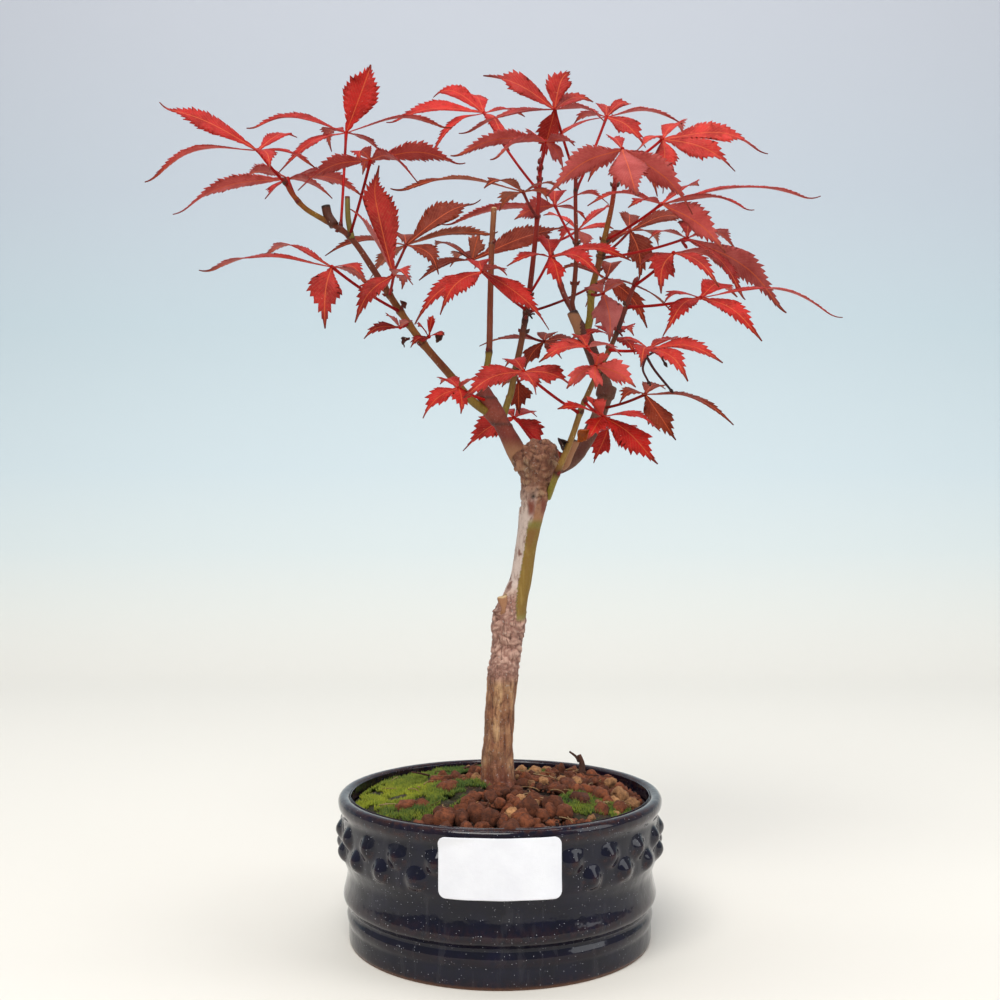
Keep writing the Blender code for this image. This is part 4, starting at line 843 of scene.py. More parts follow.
def make_moss(patch, sizes, colours, stuff, seed):
    """A cushion of moss: a lumpy bed with hundreds of small upright pointed shoots."""
    skin = Skin()
    x, y, dice = scattered(patch, sizes.moss_pitch, seed, 3.0)
    bald = (noise(np.stack([x, y, 0 * x], -1), 0.010, 47, 2)
        + 0.25 * noise(np.stack([x, y, 0 * x], -1), 0.0028, 48))
    keep = bald < MOSS_COVER[patch]
    x, y = x[keep], y[keep]
    z = moss_height(x, y, patch, sizes)
    lush = soft(-x, 0.020, 0.036) * soft(y, -0.028, -0.018)
    bright = np.clip(0.22 + 0.55 * lush + 0.45 * noise(np.stack([x, y, z], -1), 0.007, 41, 2)
        + dice.uniform(-0.25, 0.25, x.shape), 0, 1)
    if patch == "moss_back":
        bright = bright * 0.5
    green = (np.array(colours.moss_dark)[None] * (1 - bright[:, None])
        + np.array(colours.moss_bright)[None] * bright[:, None])
    deep = linear((0.10, 0.13, 0.03))
    n = len(x)
    for k in range(MOSS_SPIKES):
        turn = dice.uniform(0, 2 * np.pi, n)
        lean = dice.uniform(0.15, 0.9, n) if k else dice.uniform(0, 0.25, n)
        long = dice.uniform(0.0009, 0.0017, n) * (1.15 if k == 0 else 0.95)
        wide = dice.uniform(0.00014, 0.00022, n)
        foot = np.stack([x + 0.0003 * np.cos(turn), y + 0.0003 * np.sin(turn), z - 0.0009], -1)
        way = np.stack([np.sin(lean) * np.cos(turn), np.sin(lean) * np.sin(turn), np.cos(lean)], -1)
        middle = foot + way * (long * 0.6)[:, None]
        tip = foot + way * (long * 1.25)[:, None] + np.array((0, 0, 0.0003))
        across = np.stack([-np.sin(turn), np.cos(turn), 0 * turn], -1)
        over = np.cross(way, across)
        corners = [foot + wide[:, None] * (math.cos(a) * across + math.sin(a) * over)
                   for a in SPIKE_CORNERS]
        waist = [middle + 1.25 * wide[:, None] * (math.cos(a) * across + math.sin(a) * over)
                 for a in SPIKE_CORNERS]
        points = np.stack(corners + waist + [tip], 1).reshape(-1, 3)
        base = 7 * np.arange(n)
        quads = np.concatenate([np.stack([base + a, base + b, base + b + 3, base + a + 3], -1)
                                for a, b in SPIKE_SIDES])
        tris = np.concatenate([np.stack([base + a + 3, base + b + 3, base + 6], -1)
                               for a, b in SPIKE_SIDES] + [np.stack([base + 2, base + 1, base], -1)])
        # each shoot is darker at its foot and lighter at its tip: partly the moss's own colour, partly
        # painted shade deep in the cushion
        paint = np.stack([deep + 0 * green] * 3 + [green * 0.75] * 3
            + [green * 1.15 + linear((0.25, 0.25, 0.05)) * 0.3], 1)
        start = skin.count
        skin.add(points, quads, paint.reshape(-1, 3))
        skin.faces += (tris + start).tolist()
    # the bed itself, a closed lumpy cushion
    first, last, inner, outer = PATCHES[patch]
    rows, columns = 26, max(int((last - first) / 1.6), 12)
    u, v = np.meshgrid(np.linspace(0, 1, columns), np.linspace(0, 1, rows), indexing="ij")
    turn, r = np.radians(first - 2 + (last - first + 4) * u), inner + (outer - inner) * v
    bx, by = r * np.cos(turn), r * np.sin(turn)
    edge = soft(np.minimum(np.minimum(u, 1 - u) * 8, np.minimum(v, 1 - v) * 8), 0, 1)
    floor = soil_top(bx, by, sizes) - 0.0012
    bz = floor + (moss_height(bx, by, patch, sizes) - 0.0005 - floor) * edge
    bed = np.stack([bx, by, bz], -1).reshape(-1, 3)
    under = bed.copy()
    under[:, 2] = np.minimum(floor.ravel(), bed[:, 2]) - 0.0006
    faces = grid(columns, rows)
    count = len(bed)
    ring = np.concatenate([np.arange(columns) * rows, (columns - 1) * rows + np.arange(1, rows),
                           np.arange(columns - 2, -1, -1) * rows + rows - 1, np.arange(rows - 2, 0, -1)])
    rim = np.stack([np.roll(ring, -1), ring, ring + count, np.roll(ring, -1) + count], -1)
    damp = soft(noise(np.concatenate([bed, under]), 0.006, 49, 2), -0.1, 0.3)[:, None]
    tone = linear((0.19, 0.18, 0.08)) * (1 - damp) + linear((0.22, 0.13, 0.085)) * damp
    skin.add(np.concatenate([bed, under]), np.concatenate([faces, faces[:, ::-1] + count, rim]), tone)
    return skin.make(patch + "_shoots", stuff, [patch])


def grain_shape(subdivisions):
    bm = bmesh.new()
    bmesh.ops.create_icosphere(bm, subdivisions=subdivisions, radius=1.0)
    points = np.array([v.co for v in bm.verts])
    faces = np.array([[v.index for v in face.verts] for face in bm.faces])
    bm.free()
    return points, faces


def add_grain(skin, shapes, spot, size, colour, seed):
    """One fired-clay grain: rounded, a little angular and pitted."""
    points, faces = shapes[size > 0.0038]
    dice = np.random.default_rng(seed)
    away = unit(dice.normal(size=(9, 3)))
    cut = dice.uniform(0.58, 0.90, 9)
    lumps = 1 + 0.24 * noise(points + seed * 3.7, 0.9, seed % 97, 2)
    reach = points @ away.T
    flat = np.min(np.where(reach > cut, cut / np.maximum(reach, 1e-6), 1.0), axis=1)
    shaped = points * (lumps * (0.2 + 0.8 * flat))[:, None]
    shaped = shaped * (1 + 0.24 * noise(points * 3 + seed, 1.1, 5, 3)[:, None])
    shaped = shaped * dice.uniform(0.8, 1.2, 3) * size / 2
    tone = np.array(colour) * dice.uniform(0.55, 1.3)
    skin.add(shaped + spot, faces, tone)


BIG_GRAINS = (  # mm: x, y, across
    (-21, -6, 6.5), (-36, -26, 6), (-30, -27, 5), (-26, -46, 6), (-20, -45, 7), (-15, -43, 6),
    (-9, -41, 6.5), (-3.5, -46, 7), (-12, -55, 6), (-30, -48, 5.5), (3, -57, 7), (9, -50, 6.5),
    (15, -54, 5), (20, -30, 6), (24, -38, 6.5), (31, -20, 6), (40, -8, 6.5), (38, -30, 5),
    (46, -24, 5.5), (14, -24, 5.5), (28, 2, 6), (10, -36, 6.5),
)
TAN_GRAINS = (
    (-13, 38, 5.5), (-10, 8, 5), (9, 32, 6), (15, 28, 5.5), (18, 5, 4.5), (48, -8, 7), (52, -14, 6),
    (38, -22, 4.5), (26, 16, 4), (44, -30, 4), (34, -38, 3.5),
)
GRAIN_LAYERS = (  # pitch, smallest, largest, and height of the middle over the size
    (0.0046, 0.0034, 0.0066, 0.30), (0.0023, 0.0010, 0.0024, 0.40), (0.0068, 0.0030, 0.0052, 0.75),
)


def make_gravel(patch, sizes, colours, stuff, seed):
    """Red-brown grains lying on the soil, with crumbs between them."""
    skin = Skin()
    shapes = {False: grain_shape(2), True: grain_shape(3)}
    crumbs = {False: grain_shape(1)}
    first, last = PATCHES[patch][:2]
    placed = []
    for table, colour in ((BIG_GRAINS, colours.grain), (TAN_GRAINS, colours.grain_tan)):
        for n, (gx, gy, across) in enumerate(table):
            turn = (math.degrees(math.atan2(gy, gx)) - first) % 360 + first
            near = patch == "gravel_front" and turn > last and not any(
                (math.degrees(math.atan2(gy, gx)) - PATCHES[p][0]) % 360 + PATCHES[p][0] <= PATCHES[p][1]
                for p in ("gravel_back", "gravel_right"))
            if turn <= last or near:
                z = float(soil_top(gx * MM, gy * MM, sizes)) + across * MM * 0.33
                add_grain(skin, shapes, np.array((gx * MM, gy * MM, z)),
                    across * MM * (1.3 if table is BIG_GRAINS else 1.1), colour, seed * 100 + n)
                placed.append((gx * MM, gy * MM, across * MM / 2))
    for pitch, low, high, rise in GRAIN_LAYERS:
        x, y, dice = scattered(patch, pitch, seed + int(pitch * 1e5), 2.0)
        size = dice.uniform(low, high, x.shape)
        for n in range(len(x)):
            if np.hypot(x[n], y[n]) > 0.0578 - size[n] / 2:
                continue
            if any(math.hypot(x[n] - a, y[n] - b) < c + size[n] * 0.3 for a, b, c in placed):
                continue
            if low == GRAIN_LAYERS[0][1]:
                placed.append((x[n], y[n], size[n] * 0.28))
            if patch != "gravel_right" and dice.uniform() < 0.22:
                continue
            pale = dice.uniform() < (0.04 if patch == "gravel_back" else 0.08)
            spot = np.array((x[n], y[n], float(soil_top(x[n], y[n], sizes)) + size[n] * rise))
            add_grain(skin, shapes, spot, size[n], colours.grain_tan if pale else colours.grain,
                seed * 7919 + n + int(pitch * 1e6))
    x, y, dice = scattered(patch, 0.0017, seed + 5, 4.0)
    for n in range(0, len(x), 2):
        size = dice.uniform(0.0008, 0.0019)
        if np.hypot(x[n], y[n]) < 0.0572:
            spot = np.array((x[n], y[n], float(soil_top(x[n], y[n], sizes)) + 0.0006
                + size * dice.uniform(0.2, 0.6)))
            add_grain(skin, crumbs, spot, size, colours.soil if n % 3 else colours.grain, seed * 31 + n)
    return skin.make(patch + "_grains", stuff, [patch])


TWIGS = (  # mm: foot, tip, radius
    ((-30, 20, 59), (-37, 15, 61.5), 0.5), ((35, 28, 58), (34, 29, 66), 1.6),
    ((34, 29, 63), (30, 31, 67), 0.7), ((36, 22, 59), (47, 8, 61), 0.3),
    ((-16, 34, 59), (-10, 30, 62), 0.7),
)


def make_litter(sizes):
    """Fine dry roots, twigs and needles lying on the ground."""
    skin = Skin()
    dice = np.random.default_rng(77)
    for n in range(64):
        turn, r = ((dice.uniform(-1.2, 1.2), dice.uniform(0.018, 0.055)) if n % 4
            else (dice.uniform(2.4, 4.6), dice.uniform(0.02, 0.055)))
        x, y = r * math.cos(turn), r * math.sin(turn)
        long, way = dice.uniform(0.003, 0.010), dice.uniform(0, 2 * np.pi)
        steps = np.linspace(-0.5, 0.5, 7)
        px = x + long * steps * math.cos(way) + 0.0006 * np.sin(5 * steps + n)
        py = y + long * steps * math.sin(way) + 0.0006 * np.cos(4 * steps + n)
        keep = np.minimum(1, 0.056 / np.maximum(np.hypot(px, py), 1e-6))
        px, py = px * keep, py * keep
        pz = (soil_top(px, py, sizes) + 0.0032 + dice.uniform(0.0, 0.0022) * (0.5 - 2 * steps ** 2)
            + 0.0006 * steps * dice.normal())
        tone = linear(((0.62, 0.50, 0.34), (0.36, 0.22, 0.13), (0.72, 0.62, 0.46))[n % 3])
        girth = dice.uniform(0.00011, 0.00024) * np.linspace(1.1, 0.5, 7)
        skin.tube(np.stack([px, py, pz], -1), girth, 6, tone)
    for (x, y, z), tip, width in TWIGS:
        middle = ((x + tip[0]) / 2 + 0.8, (y + tip[1]) / 2, (z + tip[2]) / 2)
        path = even_path([(x, y, z), middle, tip], 1.0) * MM
        skin.tube(path, width * MM * np.linspace(1, 0.55, len(path)), 8, linear((0.30, 0.17, 0.11)))
    return skin.make("ground_litter", painted_finish("dry_litter", 0.0006, 0.0002, 0.8), [])


# --- wood -----------------------------------------------------------------------------
def ground_level():
    return POT_HIGH.z - SOIL_EDGE + GROUND_RISE


def world(points):
    return np.asarray(points, float) * MM + np.array((0, 0, ground_level()))


def wood_tubes(sizes):
    """Every round stretch of the old wood: its path with radii, and which limb it is."""
    trunk = np.array(TRUNK, float)
    rows = np.c_[world(trunk[:, :3]), trunk[:, 3] * sizes.trunk_girth / 2]
    foot = rows[:1] + np.array([[0, 0, -0.006, 0.0012]])
    rows = np.concatenate([foot, rows])
    rows[1, 3] *= 1.06
    tubes = [(even_path(rows, 0.0015), 0)]
    for tag, name in ((1, "left_limb"), (2, "right_limb")):
        line = world([LIMB_STARTS[name]] + list(STEMS[name]))
        first, last = GIRTHS[name]
        girth = np.linspace(first, last, len(line)) * LIMB_GIRTH / 2
        girth[1] *= 1.22
        tubes.append((even_path(np.c_[line, girth], 0.0012), tag))
    knots = (  # mm: start, end, radii, tag
        ((2.5, -1.5, 68), (-0.6, -2.2, 72.5), (3.2, 3.4), 3),
        ((1.5, -3, 71), (0.8, -3.6, 77), (2.7, 2.1), 4), ((1, 0, 44), (-4.6, -1.5, 45), (5.0, 2.2), 0),
        ((10, -1, 129), (8.8, -2, 133), (4.2, 4.2), 3), ((14, 2, 122), (18.5, -1, 127), (4.8, 4.0), 3),
        ((43.5, 8, 159), (44.6, 8.5, 163.5), (3.8, 4.0), 2),
        ((34.5, 11.5, 186), (30.2, 11.5, 195.2), (2.9, 2.1), 5),
        ((36.5, 11, 182), (34, 12, 189), (3.2, 3.2), 2), ((22, 0, 128), (26.3, -2, 131), (2.6, 2.1), 2),
        ((26, -2, 130), (31.2, -4, 140.2), (2.0, 1.5), 5),
        ((-0.5, -4.5, 149), (-4.8, -6, 152.5), (3.7, 3.3), 1),
        ((-2, -3, 1), (-9.5, -5.5, -3.5), (4.6, 2.4), 0),
        ((1, -3, 1), (5.5, -8.5, -3.5), (4.2, 2.0), 0), ((1, 2, 1), (8.5, 3.5, -3.5), (4.4, 2.2), 0),
        ((-1, 3, 1), (-4, 9, -3.5), (4.4, 2.2), 0),
    )
    for start, end, girth, tag in knots:
        line = np.c_[world([start, end]), np.array(girth) * MM]
        tubes.append((even_path(line, 0.0012), tag))
    return tubes


def melted(tubes, voxel):
    """One closed skin round all the tubes."""
    raw = Skin()
    for rows, _ in tubes:
        raw.tube(rows[:, :3], rows[:, 3], 36)
    mesh = bpy.data.meshes.new("raw_wood")
    mesh.from_pydata(np.concatenate(raw.points).tolist(), [], raw.faces)
    lump = bpy.data.objects.new("raw_wood", mesh)
    bpy.context.scene.collection.objects.link(lump)
    change = lump.modifiers.new("melt", "REMESH")
    change.mode, change.voxel_size = "VOXEL", voxel
    fused = lump.evaluated_get(bpy.context.evaluated_depsgraph_get()).to_mesh()
    points = np.empty(len(fused.vertices) * 3)
    fused.vertices.foreach_get("co", points)
    normals = np.empty(len(fused.vertices) * 3)
    fused.vertices.foreach_get("normal", normals)
    faces = [list(face.vertices) for face in fused.polygons]
    bpy.data.objects.remove(lump)
    bpy.data.meshes.remove(mesh)
    return points.reshape(-1, 3), normals.reshape(-1, 3), faces


def wood_places(points, tubes):
    """For each point: the tag of the tube it lies on and the turn round it in degrees."""
    centres = np.concatenate([rows[:, :3] for rows, _ in tubes])
    radii = np.concatenate([rows[:, 3] for rows, _ in tubes])
    tags = np.concatenate([np.full(len(rows), tag) for rows, tag in tubes])
    nearest = np.concatenate([
        np.argmin(np.linalg.norm(block[:, None] - centres[None], axis=2)
            - radii[None] * (1 + 0.02 * (tags == 0))[None], axis=1)
        for block in np.array_split(points, max(len(points) // 4000, 1))])
    away = points - centres[nearest]
    return tags[nearest], np.degrees(np.arctan2(away[:, 0], -away[:, 1]))


def make_trunk(sizes):
    """Trunk, fork, two old limbs, pruning scars and the root flare."""
    tubes = wood_tubes(sizes)
    points, normals, faces = melted(tubes, sizes.bark_voxel)
    tag, turn = wood_places(points, tubes)
    local = (points - np.array((0, 0, ground_level()))) / MM
    x, z = local[:, 0], local[:, 2]
    trunk = (tag == 0) | (tag == 3)
    strip = (soft(z, 66, 70.5) * (1 - soft(z, 103, 109)) * soft(turn - 36 * (1 - soft(z, 68, 86)), -14, -8)
        * (1 - soft(turn, 112, 128)) * (tag == 0))
    strip = strip * soft(z - 66 - np.abs(turn - 48) / 9.0, -2.0, 0.5)
    pale = (soft(z, 75, 82) * (1 - soft(z, 110, 124)) * (1 - strip) * soft(turn, -165, -140)
        * (1 - soft(turn, 0, 12)) * trunk)
    low = (1 - soft(z, 40, 48)) * trunk
    knob = soft(z, 40, 47) * (1 - soft(z, 77, 81)) * trunk * (1 - strip)
    fork = soft(z, 108, 116) * trunk
    limb = ((tag == 1) | (tag == 2)).astype(float) * soft(z, 136, 141)
    tall = points * np.array((1, 1, 0.26))
    swirl = (points + 0.0022 * np.stack([noise(points, 0.008, 61), noise(points, 0.008, 62),
        noise(points, 0.008, 63)], -1))
    grooves = 1 - np.abs(noise(tall, 0.0030, 51, 3)) * 2.4
    curls = 1 - np.abs(noise(swirl * np.array((0.7, 0.7, 1.2)), 0.0028, 55, 3)) * 2.4
    groove = low * grooves + knob * curls + fork * curls + pale * (0.6 * grooves - 0.1)
    groove = np.clip(groove + limb * 0.4 * grooves, 0, 1)
    fine = noise(points * np.array((1, 1, 0.6)), 0.0011, 58, 2)
    depth = 0.00055 * low + 0.00065 * knob + 0.0007 * fork * (1 - limb)
    depth = (depth + 0.00025 * pale + 0.00014 * limb) * (1 - strip)
    hole = np.exp(-((x - 13.2) / 1.0) ** 2 - ((z - 117.2) / 1.0) ** 2) * (np.abs(turn) < 70)
    bands = sum(np.exp(-((x - a) / 1.3) ** 4 - ((z - b) / 3.2) ** 4)
        for a, b in ((12.6, 112.6), (17.6, 113.4)))
    bands = np.clip(bands * (np.abs(turn) < 120), 0, 1)
    depth = depth * (1 - bands)
    bulk = noise(points, 0.007, 66, 2) * 0.0004 * (1 - 0.6 * strip)
    rings = sum(np.exp(-((z - level) / 0.7) ** 2) for level in (146.5, 157.0)) * (tag == 1)
    push = bulk - depth * (groove - 0.35) + 0.00012 * fine * (1 - strip) * (1 - 0.6 * limb)
    push = push - 0.0013 * hole + 0.00025 * rings - 0.0002 * strip
    points = points + normals * push[:, None]

    cloud = noise(points, 0.006, 71, 2) * 0.5 + 0.5
    paint = np.repeat(linear((0.60, 0.42, 0.29))[None], len(points), 0)
    edge = strip * (1 - strip) * 4
    scratch = soft(noise(points * np.array((1, 1, 0.12)), 0.0010, 75, 2), 0.15, 0.5)
    left = (tag == 1) * soft(z, 134, 142)
    right = (tag == 2) * soft(x, 19, 26)
    stub = np.exp(-(((points - world((0.8, -3.8, 77.6))) / MM) ** 2).sum(1) / 4.0)
    cut = (tag == 5) * np.maximum(soft(z, 193.6, 194.8), soft(z, 139, 140.2) * (z < 145))
    layers = (  # share covered and display colour, each over the ones before
        (soft(cloud, 0.30, 0.7) * low, (0.74, 0.58, 0.42)),
        (soft(-z, -14, 0) * 0.85, (0.42, 0.21, 0.14)),
        (knob, (0.73, 0.58, 0.52)),
        (fork, (0.58, 0.42, 0.32)),
        (soft(cloud, 0.5, 0.8) * fork * 0.7, (0.55, 0.47, 0.36)),
        (groove * (low + knob + fork).clip(0, 1) * (1 - strip) * (1 - pale) * 0.78, (0.33, 0.15, 0.10)),
        (pale, (0.74, 0.67, 0.63)),
        (pale * soft(noise(points * np.array((1, 1, 0.6)), 0.0020, 73, 3), 0.05, 0.3) * 0.9,
            (0.38, 0.22, 0.16)),
        (strip, (0.49, 0.375, 0.11)),
        (strip * scratch * 0.5, (0.60, 0.50, 0.24)),
        (strip * soft(noise(points * np.array((1, 1, 0.3)), 0.004, 77), 0.0, 0.5) * 0.6,
            (0.46, 0.30, 0.13)),
        (edge.clip(0, 1) * 0.6, (0.42, 0.44, 0.12)),
        (bands, (0.45, 0.22, 0.15)),
        # painted shade: the hole is painted near-black, the shadow inside it
        (hole.clip(0, 1), (0.07, 0.04, 0.03)),
        (left, (0.42, 0.15, 0.105)),
        (left * soft(cloud, 0.45, 0.75) * 0.6, (0.50, 0.23, 0.15)),
        (right, (0.32, 0.15, 0.10)),
        (right * soft(cloud, 0.4, 0.7) * 0.6, (0.40, 0.26, 0.18)),
        (rings.clip(0, 1) * 0.7, (0.24, 0.13, 0.09)),
        (soft(stub, 0.25, 0.5), (0.78, 0.68, 0.50)),
        (cut, (0.17, 0.10, 0.08)),
    )
    for share, colour in layers:
        paint = paint * (1 - share[:, None]) + linear(colour)[None] * share[:, None]
    coarse = (np.clip(low + knob + fork * (1 - limb) + pale * 0.55 + limb * 0.25, 0.04, 1)
        * (1 - strip * 0.94))
    coarse = coarse * (1 - 0.8 * bands)
    skin = Skin()
    skin.add(points, np.zeros((0, 4), int), paint,
        np.stack([coarse, 0 * coarse, 0 * coarse, 0 * coarse], -1))
    skin.faces += faces
    return skin.make("trunk_wood", bark_finish(), ["trunk"])


SHOOT_TONES = {
    "shoot_left": (
        (0, (0.48, 0.39, 0.13)), (0.1, (0.5, 0.41, 0.14)), (0.22, (0.48, 0.25, 0.13)),
        (0.4, (0.52, 0.35, 0.14)), (0.55, (0.42, 0.19, 0.11)), (0.8, (0.42, 0.19, 0.11)),
        (0.86, (0.54, 0.41, 0.12)), (1, (0.6, 0.14, 0.07)),
    ),
    "shoot_pruned": (
        (0, (0.47, 0.4, 0.13)), (0.2, (0.51, 0.44, 0.15)), (0.215, (0.32, 0.18, 0.09)),
        (0.24, (0.48, 0.24, 0.14)), (0.6, (0.53, 0.26, 0.15)), (0.85, (0.48, 0.26, 0.14)),
        (1, (0.56, 0.37, 0.21)),
    ),
    "shoot_centre": (
        (0, (0.51, 0.46, 0.15)), (0.18, (0.45, 0.32, 0.13)), (0.36, (0.41, 0.21, 0.12)),
        (0.41, (0.23, 0.11, 0.07)), (0.45, (0.39, 0.16, 0.1)), (0.7, (0.52, 0.14, 0.09)),
        (1, (0.63, 0.08, 0.07)),
    ),
    "shoot_right_back": ((0, (0.39, 0.18, 0.11)), (1, (0.5, 0.13, 0.09))),
    "shoot_right_mid": ((0, (0.39, 0.2, 0.12)), (0.5, (0.44, 0.17, 0.1)), (1, (0.5, 0.13, 0.09))),
    "shoot_right_up": (
        (0, (0.5, 0.43, 0.15)), (0.25, (0.56, 0.49, 0.16)), (0.42, (0.46, 0.24, 0.11)),
        (0.62, (0.52, 0.36, 0.12)), (0.8, (0.52, 0.19, 0.08)), (1, (0.6, 0.1, 0.07)),
    ),
    "shoot_front": (
        (0, (0.55, 0.53, 0.2)), (0.12, (0.54, 0.5, 0.2)), (0.15, (0.32, 0.16, 0.1)),
        (0.2, (0.58, 0.45, 0.2)), (0.45, (0.5, 0.38, 0.18)), (0.7, (0.44, 0.27, 0.15)),
        (0.8, (0.22, 0.1, 0.08)), (0.9, (0.42, 0.17, 0.12)), (1, (0.48, 0.12, 0.1)),
    ),
}
FEET = {  # mm along each line before it comes clear of the older wood
    "left_limb": 0, "right_limb": 0, "shoot_left": 7.9, "shoot_pruned": 3.8, "shoot_centre": 3.3,
    "shoot_right_up": 4.6, "shoot_right_mid": 2.3, "shoot_right_back": 4.1, "shoot_front": 10.2,
}
EXTRA_JOINTS = {  # joints without a leaf, as shares of the shoot's length
    "shoot_pruned": (0.215, 0.80), "shoot_centre": (0.41, 0.93), "shoot_front": (0.145, 0.79),
    "shoot_left": (0.31,), "shoot_right_up": (0.40,), "shoot_right_mid": (0.30,),
    "shoot_right_back": (0.5,),
}
SIDE_SHOOTS = {  # mm: points, radii, display colour of the side, and of the cut end
    "shoot_left": (
        (((-66, -14, 225), (-68.5, -13.5, 229), (-69.5, -13.5, 233)), (2.0, 1.8),
         (0.33, 0.18, 0.12), (0.15, 0.09, 0.07)),
        (((-59, -13, 220), (-60.6, -12.6, 228), (-61, -12.4, 237)), (1.2, 1.0),
         (0.46, 0.41, 0.18), (0.4, 0.2, 0.12)),
    ),
    "shoot_front": (
        (((57, -23, 171.5), (60, -24, 166), (65.8, -25, 158.5)), (0.55, 0.45),
         (0.25, 0.06, 0.07), (0.2, 0.05, 0.05)),
        (((57, -23, 171.5), (55.6, -23, 166.5), (57.6, -23, 161.8)), (0.5, 0.4),
         (0.27, 0.06, 0.07), (0.2, 0.05, 0.05)),
        (((57, -23, 171.5), (61, -24, 173), (63.8, -24, 169)), (0.5, 0.4),
         (0.27, 0.06, 0.07), (0.2, 0.05, 0.05)),
    ),
}
SCRAPS = {  # mm: spot, size, display colour
    "shoot_front": (
        ((33.9, -8, 142), 8, (0.8, 0.42, 0.16)), ((24.5, -9, 138), 7, (0.22, 0.1, 0.08)),
        ((23.8, -9, 134.5), 4, (0.58, 0.22, 0.14)), ((46, -25, 181), 4, (0.45, 0.12, 0.1)),
    ),
    "shoot_left": (
        ((-37, -11, 178.5), 5, (0.3, 0.12, 0.09)), ((-24, -9, 181), 5, (0.34, 0.16, 0.1)),
        ((-39, -11, 194), 4, (0.4, 0.15, 0.1)),
    ),
    "shoot_centre": (
        ((17, -2, 126), 5, (0.78, 0.46, 0.2)), ((14, -5, 133), 4, (0.8, 0.66, 0.42)),
        ((12.0, 4, 193), 4, (0.24, 0.12, 0.09)),
    ),
    "shoot_right_up": (
        ((70.8, -22, 217), 6, (0.62, 0.08, 0.09)), ((39, 0, 203), 4, (0.26, 0.13, 0.09)),
    ),
}


def foot_of(shoot, share):
    """Where a leaf stalk meets its shoot."""
    start = [LIMB_STARTS[shoot]] if shoot in LIMB_STARTS else []
    path = even_path(world(start + list(STEMS[shoot])), 0.0005)
    far = lengths(path)
    clear = FEET[shoot] * MM
    at = clear + share * (far[-1] - clear)
    k = int(np.clip(np.searchsorted(far, at), 1, len(path) - 1))
    return path[k]


def add_bud(skin, spot, way, long, wide, colour):
    """A pointed scaly bud."""
    t = np.array((0, .12, .3, .5, .7, .85, .95, 1.0))
    girth = np.array((.55, .85, 1.0, .95, .7, .42, .2, .04)) * wide
    skin.tube(spot + np.outer(t * long, way), girth * (1 + .06 * np.cos(22 * t)), 10,
        linear(colour) * (0.75 + 0.5 * t)[:, None])


def add_scrap(skin, spot, size, colour, seed):
    """A shrivelled bit of leaf or bud scale."""
    dice = np.random.default_rng(seed)
    u, v = np.meshgrid(np.linspace(-1, 1, 15), np.linspace(0, 1, 13))
    wide = np.sin(np.pi * np.clip(v, 0.03, 0.97)) ** 0.8 * 0.35
    roll = 2.1 * u * (0.5 + v)
    points = np.stack([wide * np.sin(roll) * 0.9, wide * (1 - np.cos(roll)) * 0.8 + 0.25 * np.sin(3 * v),
        v - 0.5 + 0.1 * u * u], -1)
    points = points + 0.06 * noise(points * 2 + seed, 0.5, seed % 31)[..., None]
    turn = unit(dice.normal(size=(3, 3)))
    points = points.reshape(-1, 3) @ np.linalg.qr(turn)[0] * size
    shade = 0.8 + 0.35 * noise(points * 3, size * 0.4, 5)
    skin.sheet(points + spot, grid(13, 15), 0.00022, linear(colour)[None] * shade[:, None],
        np.zeros((len(points), 4)))


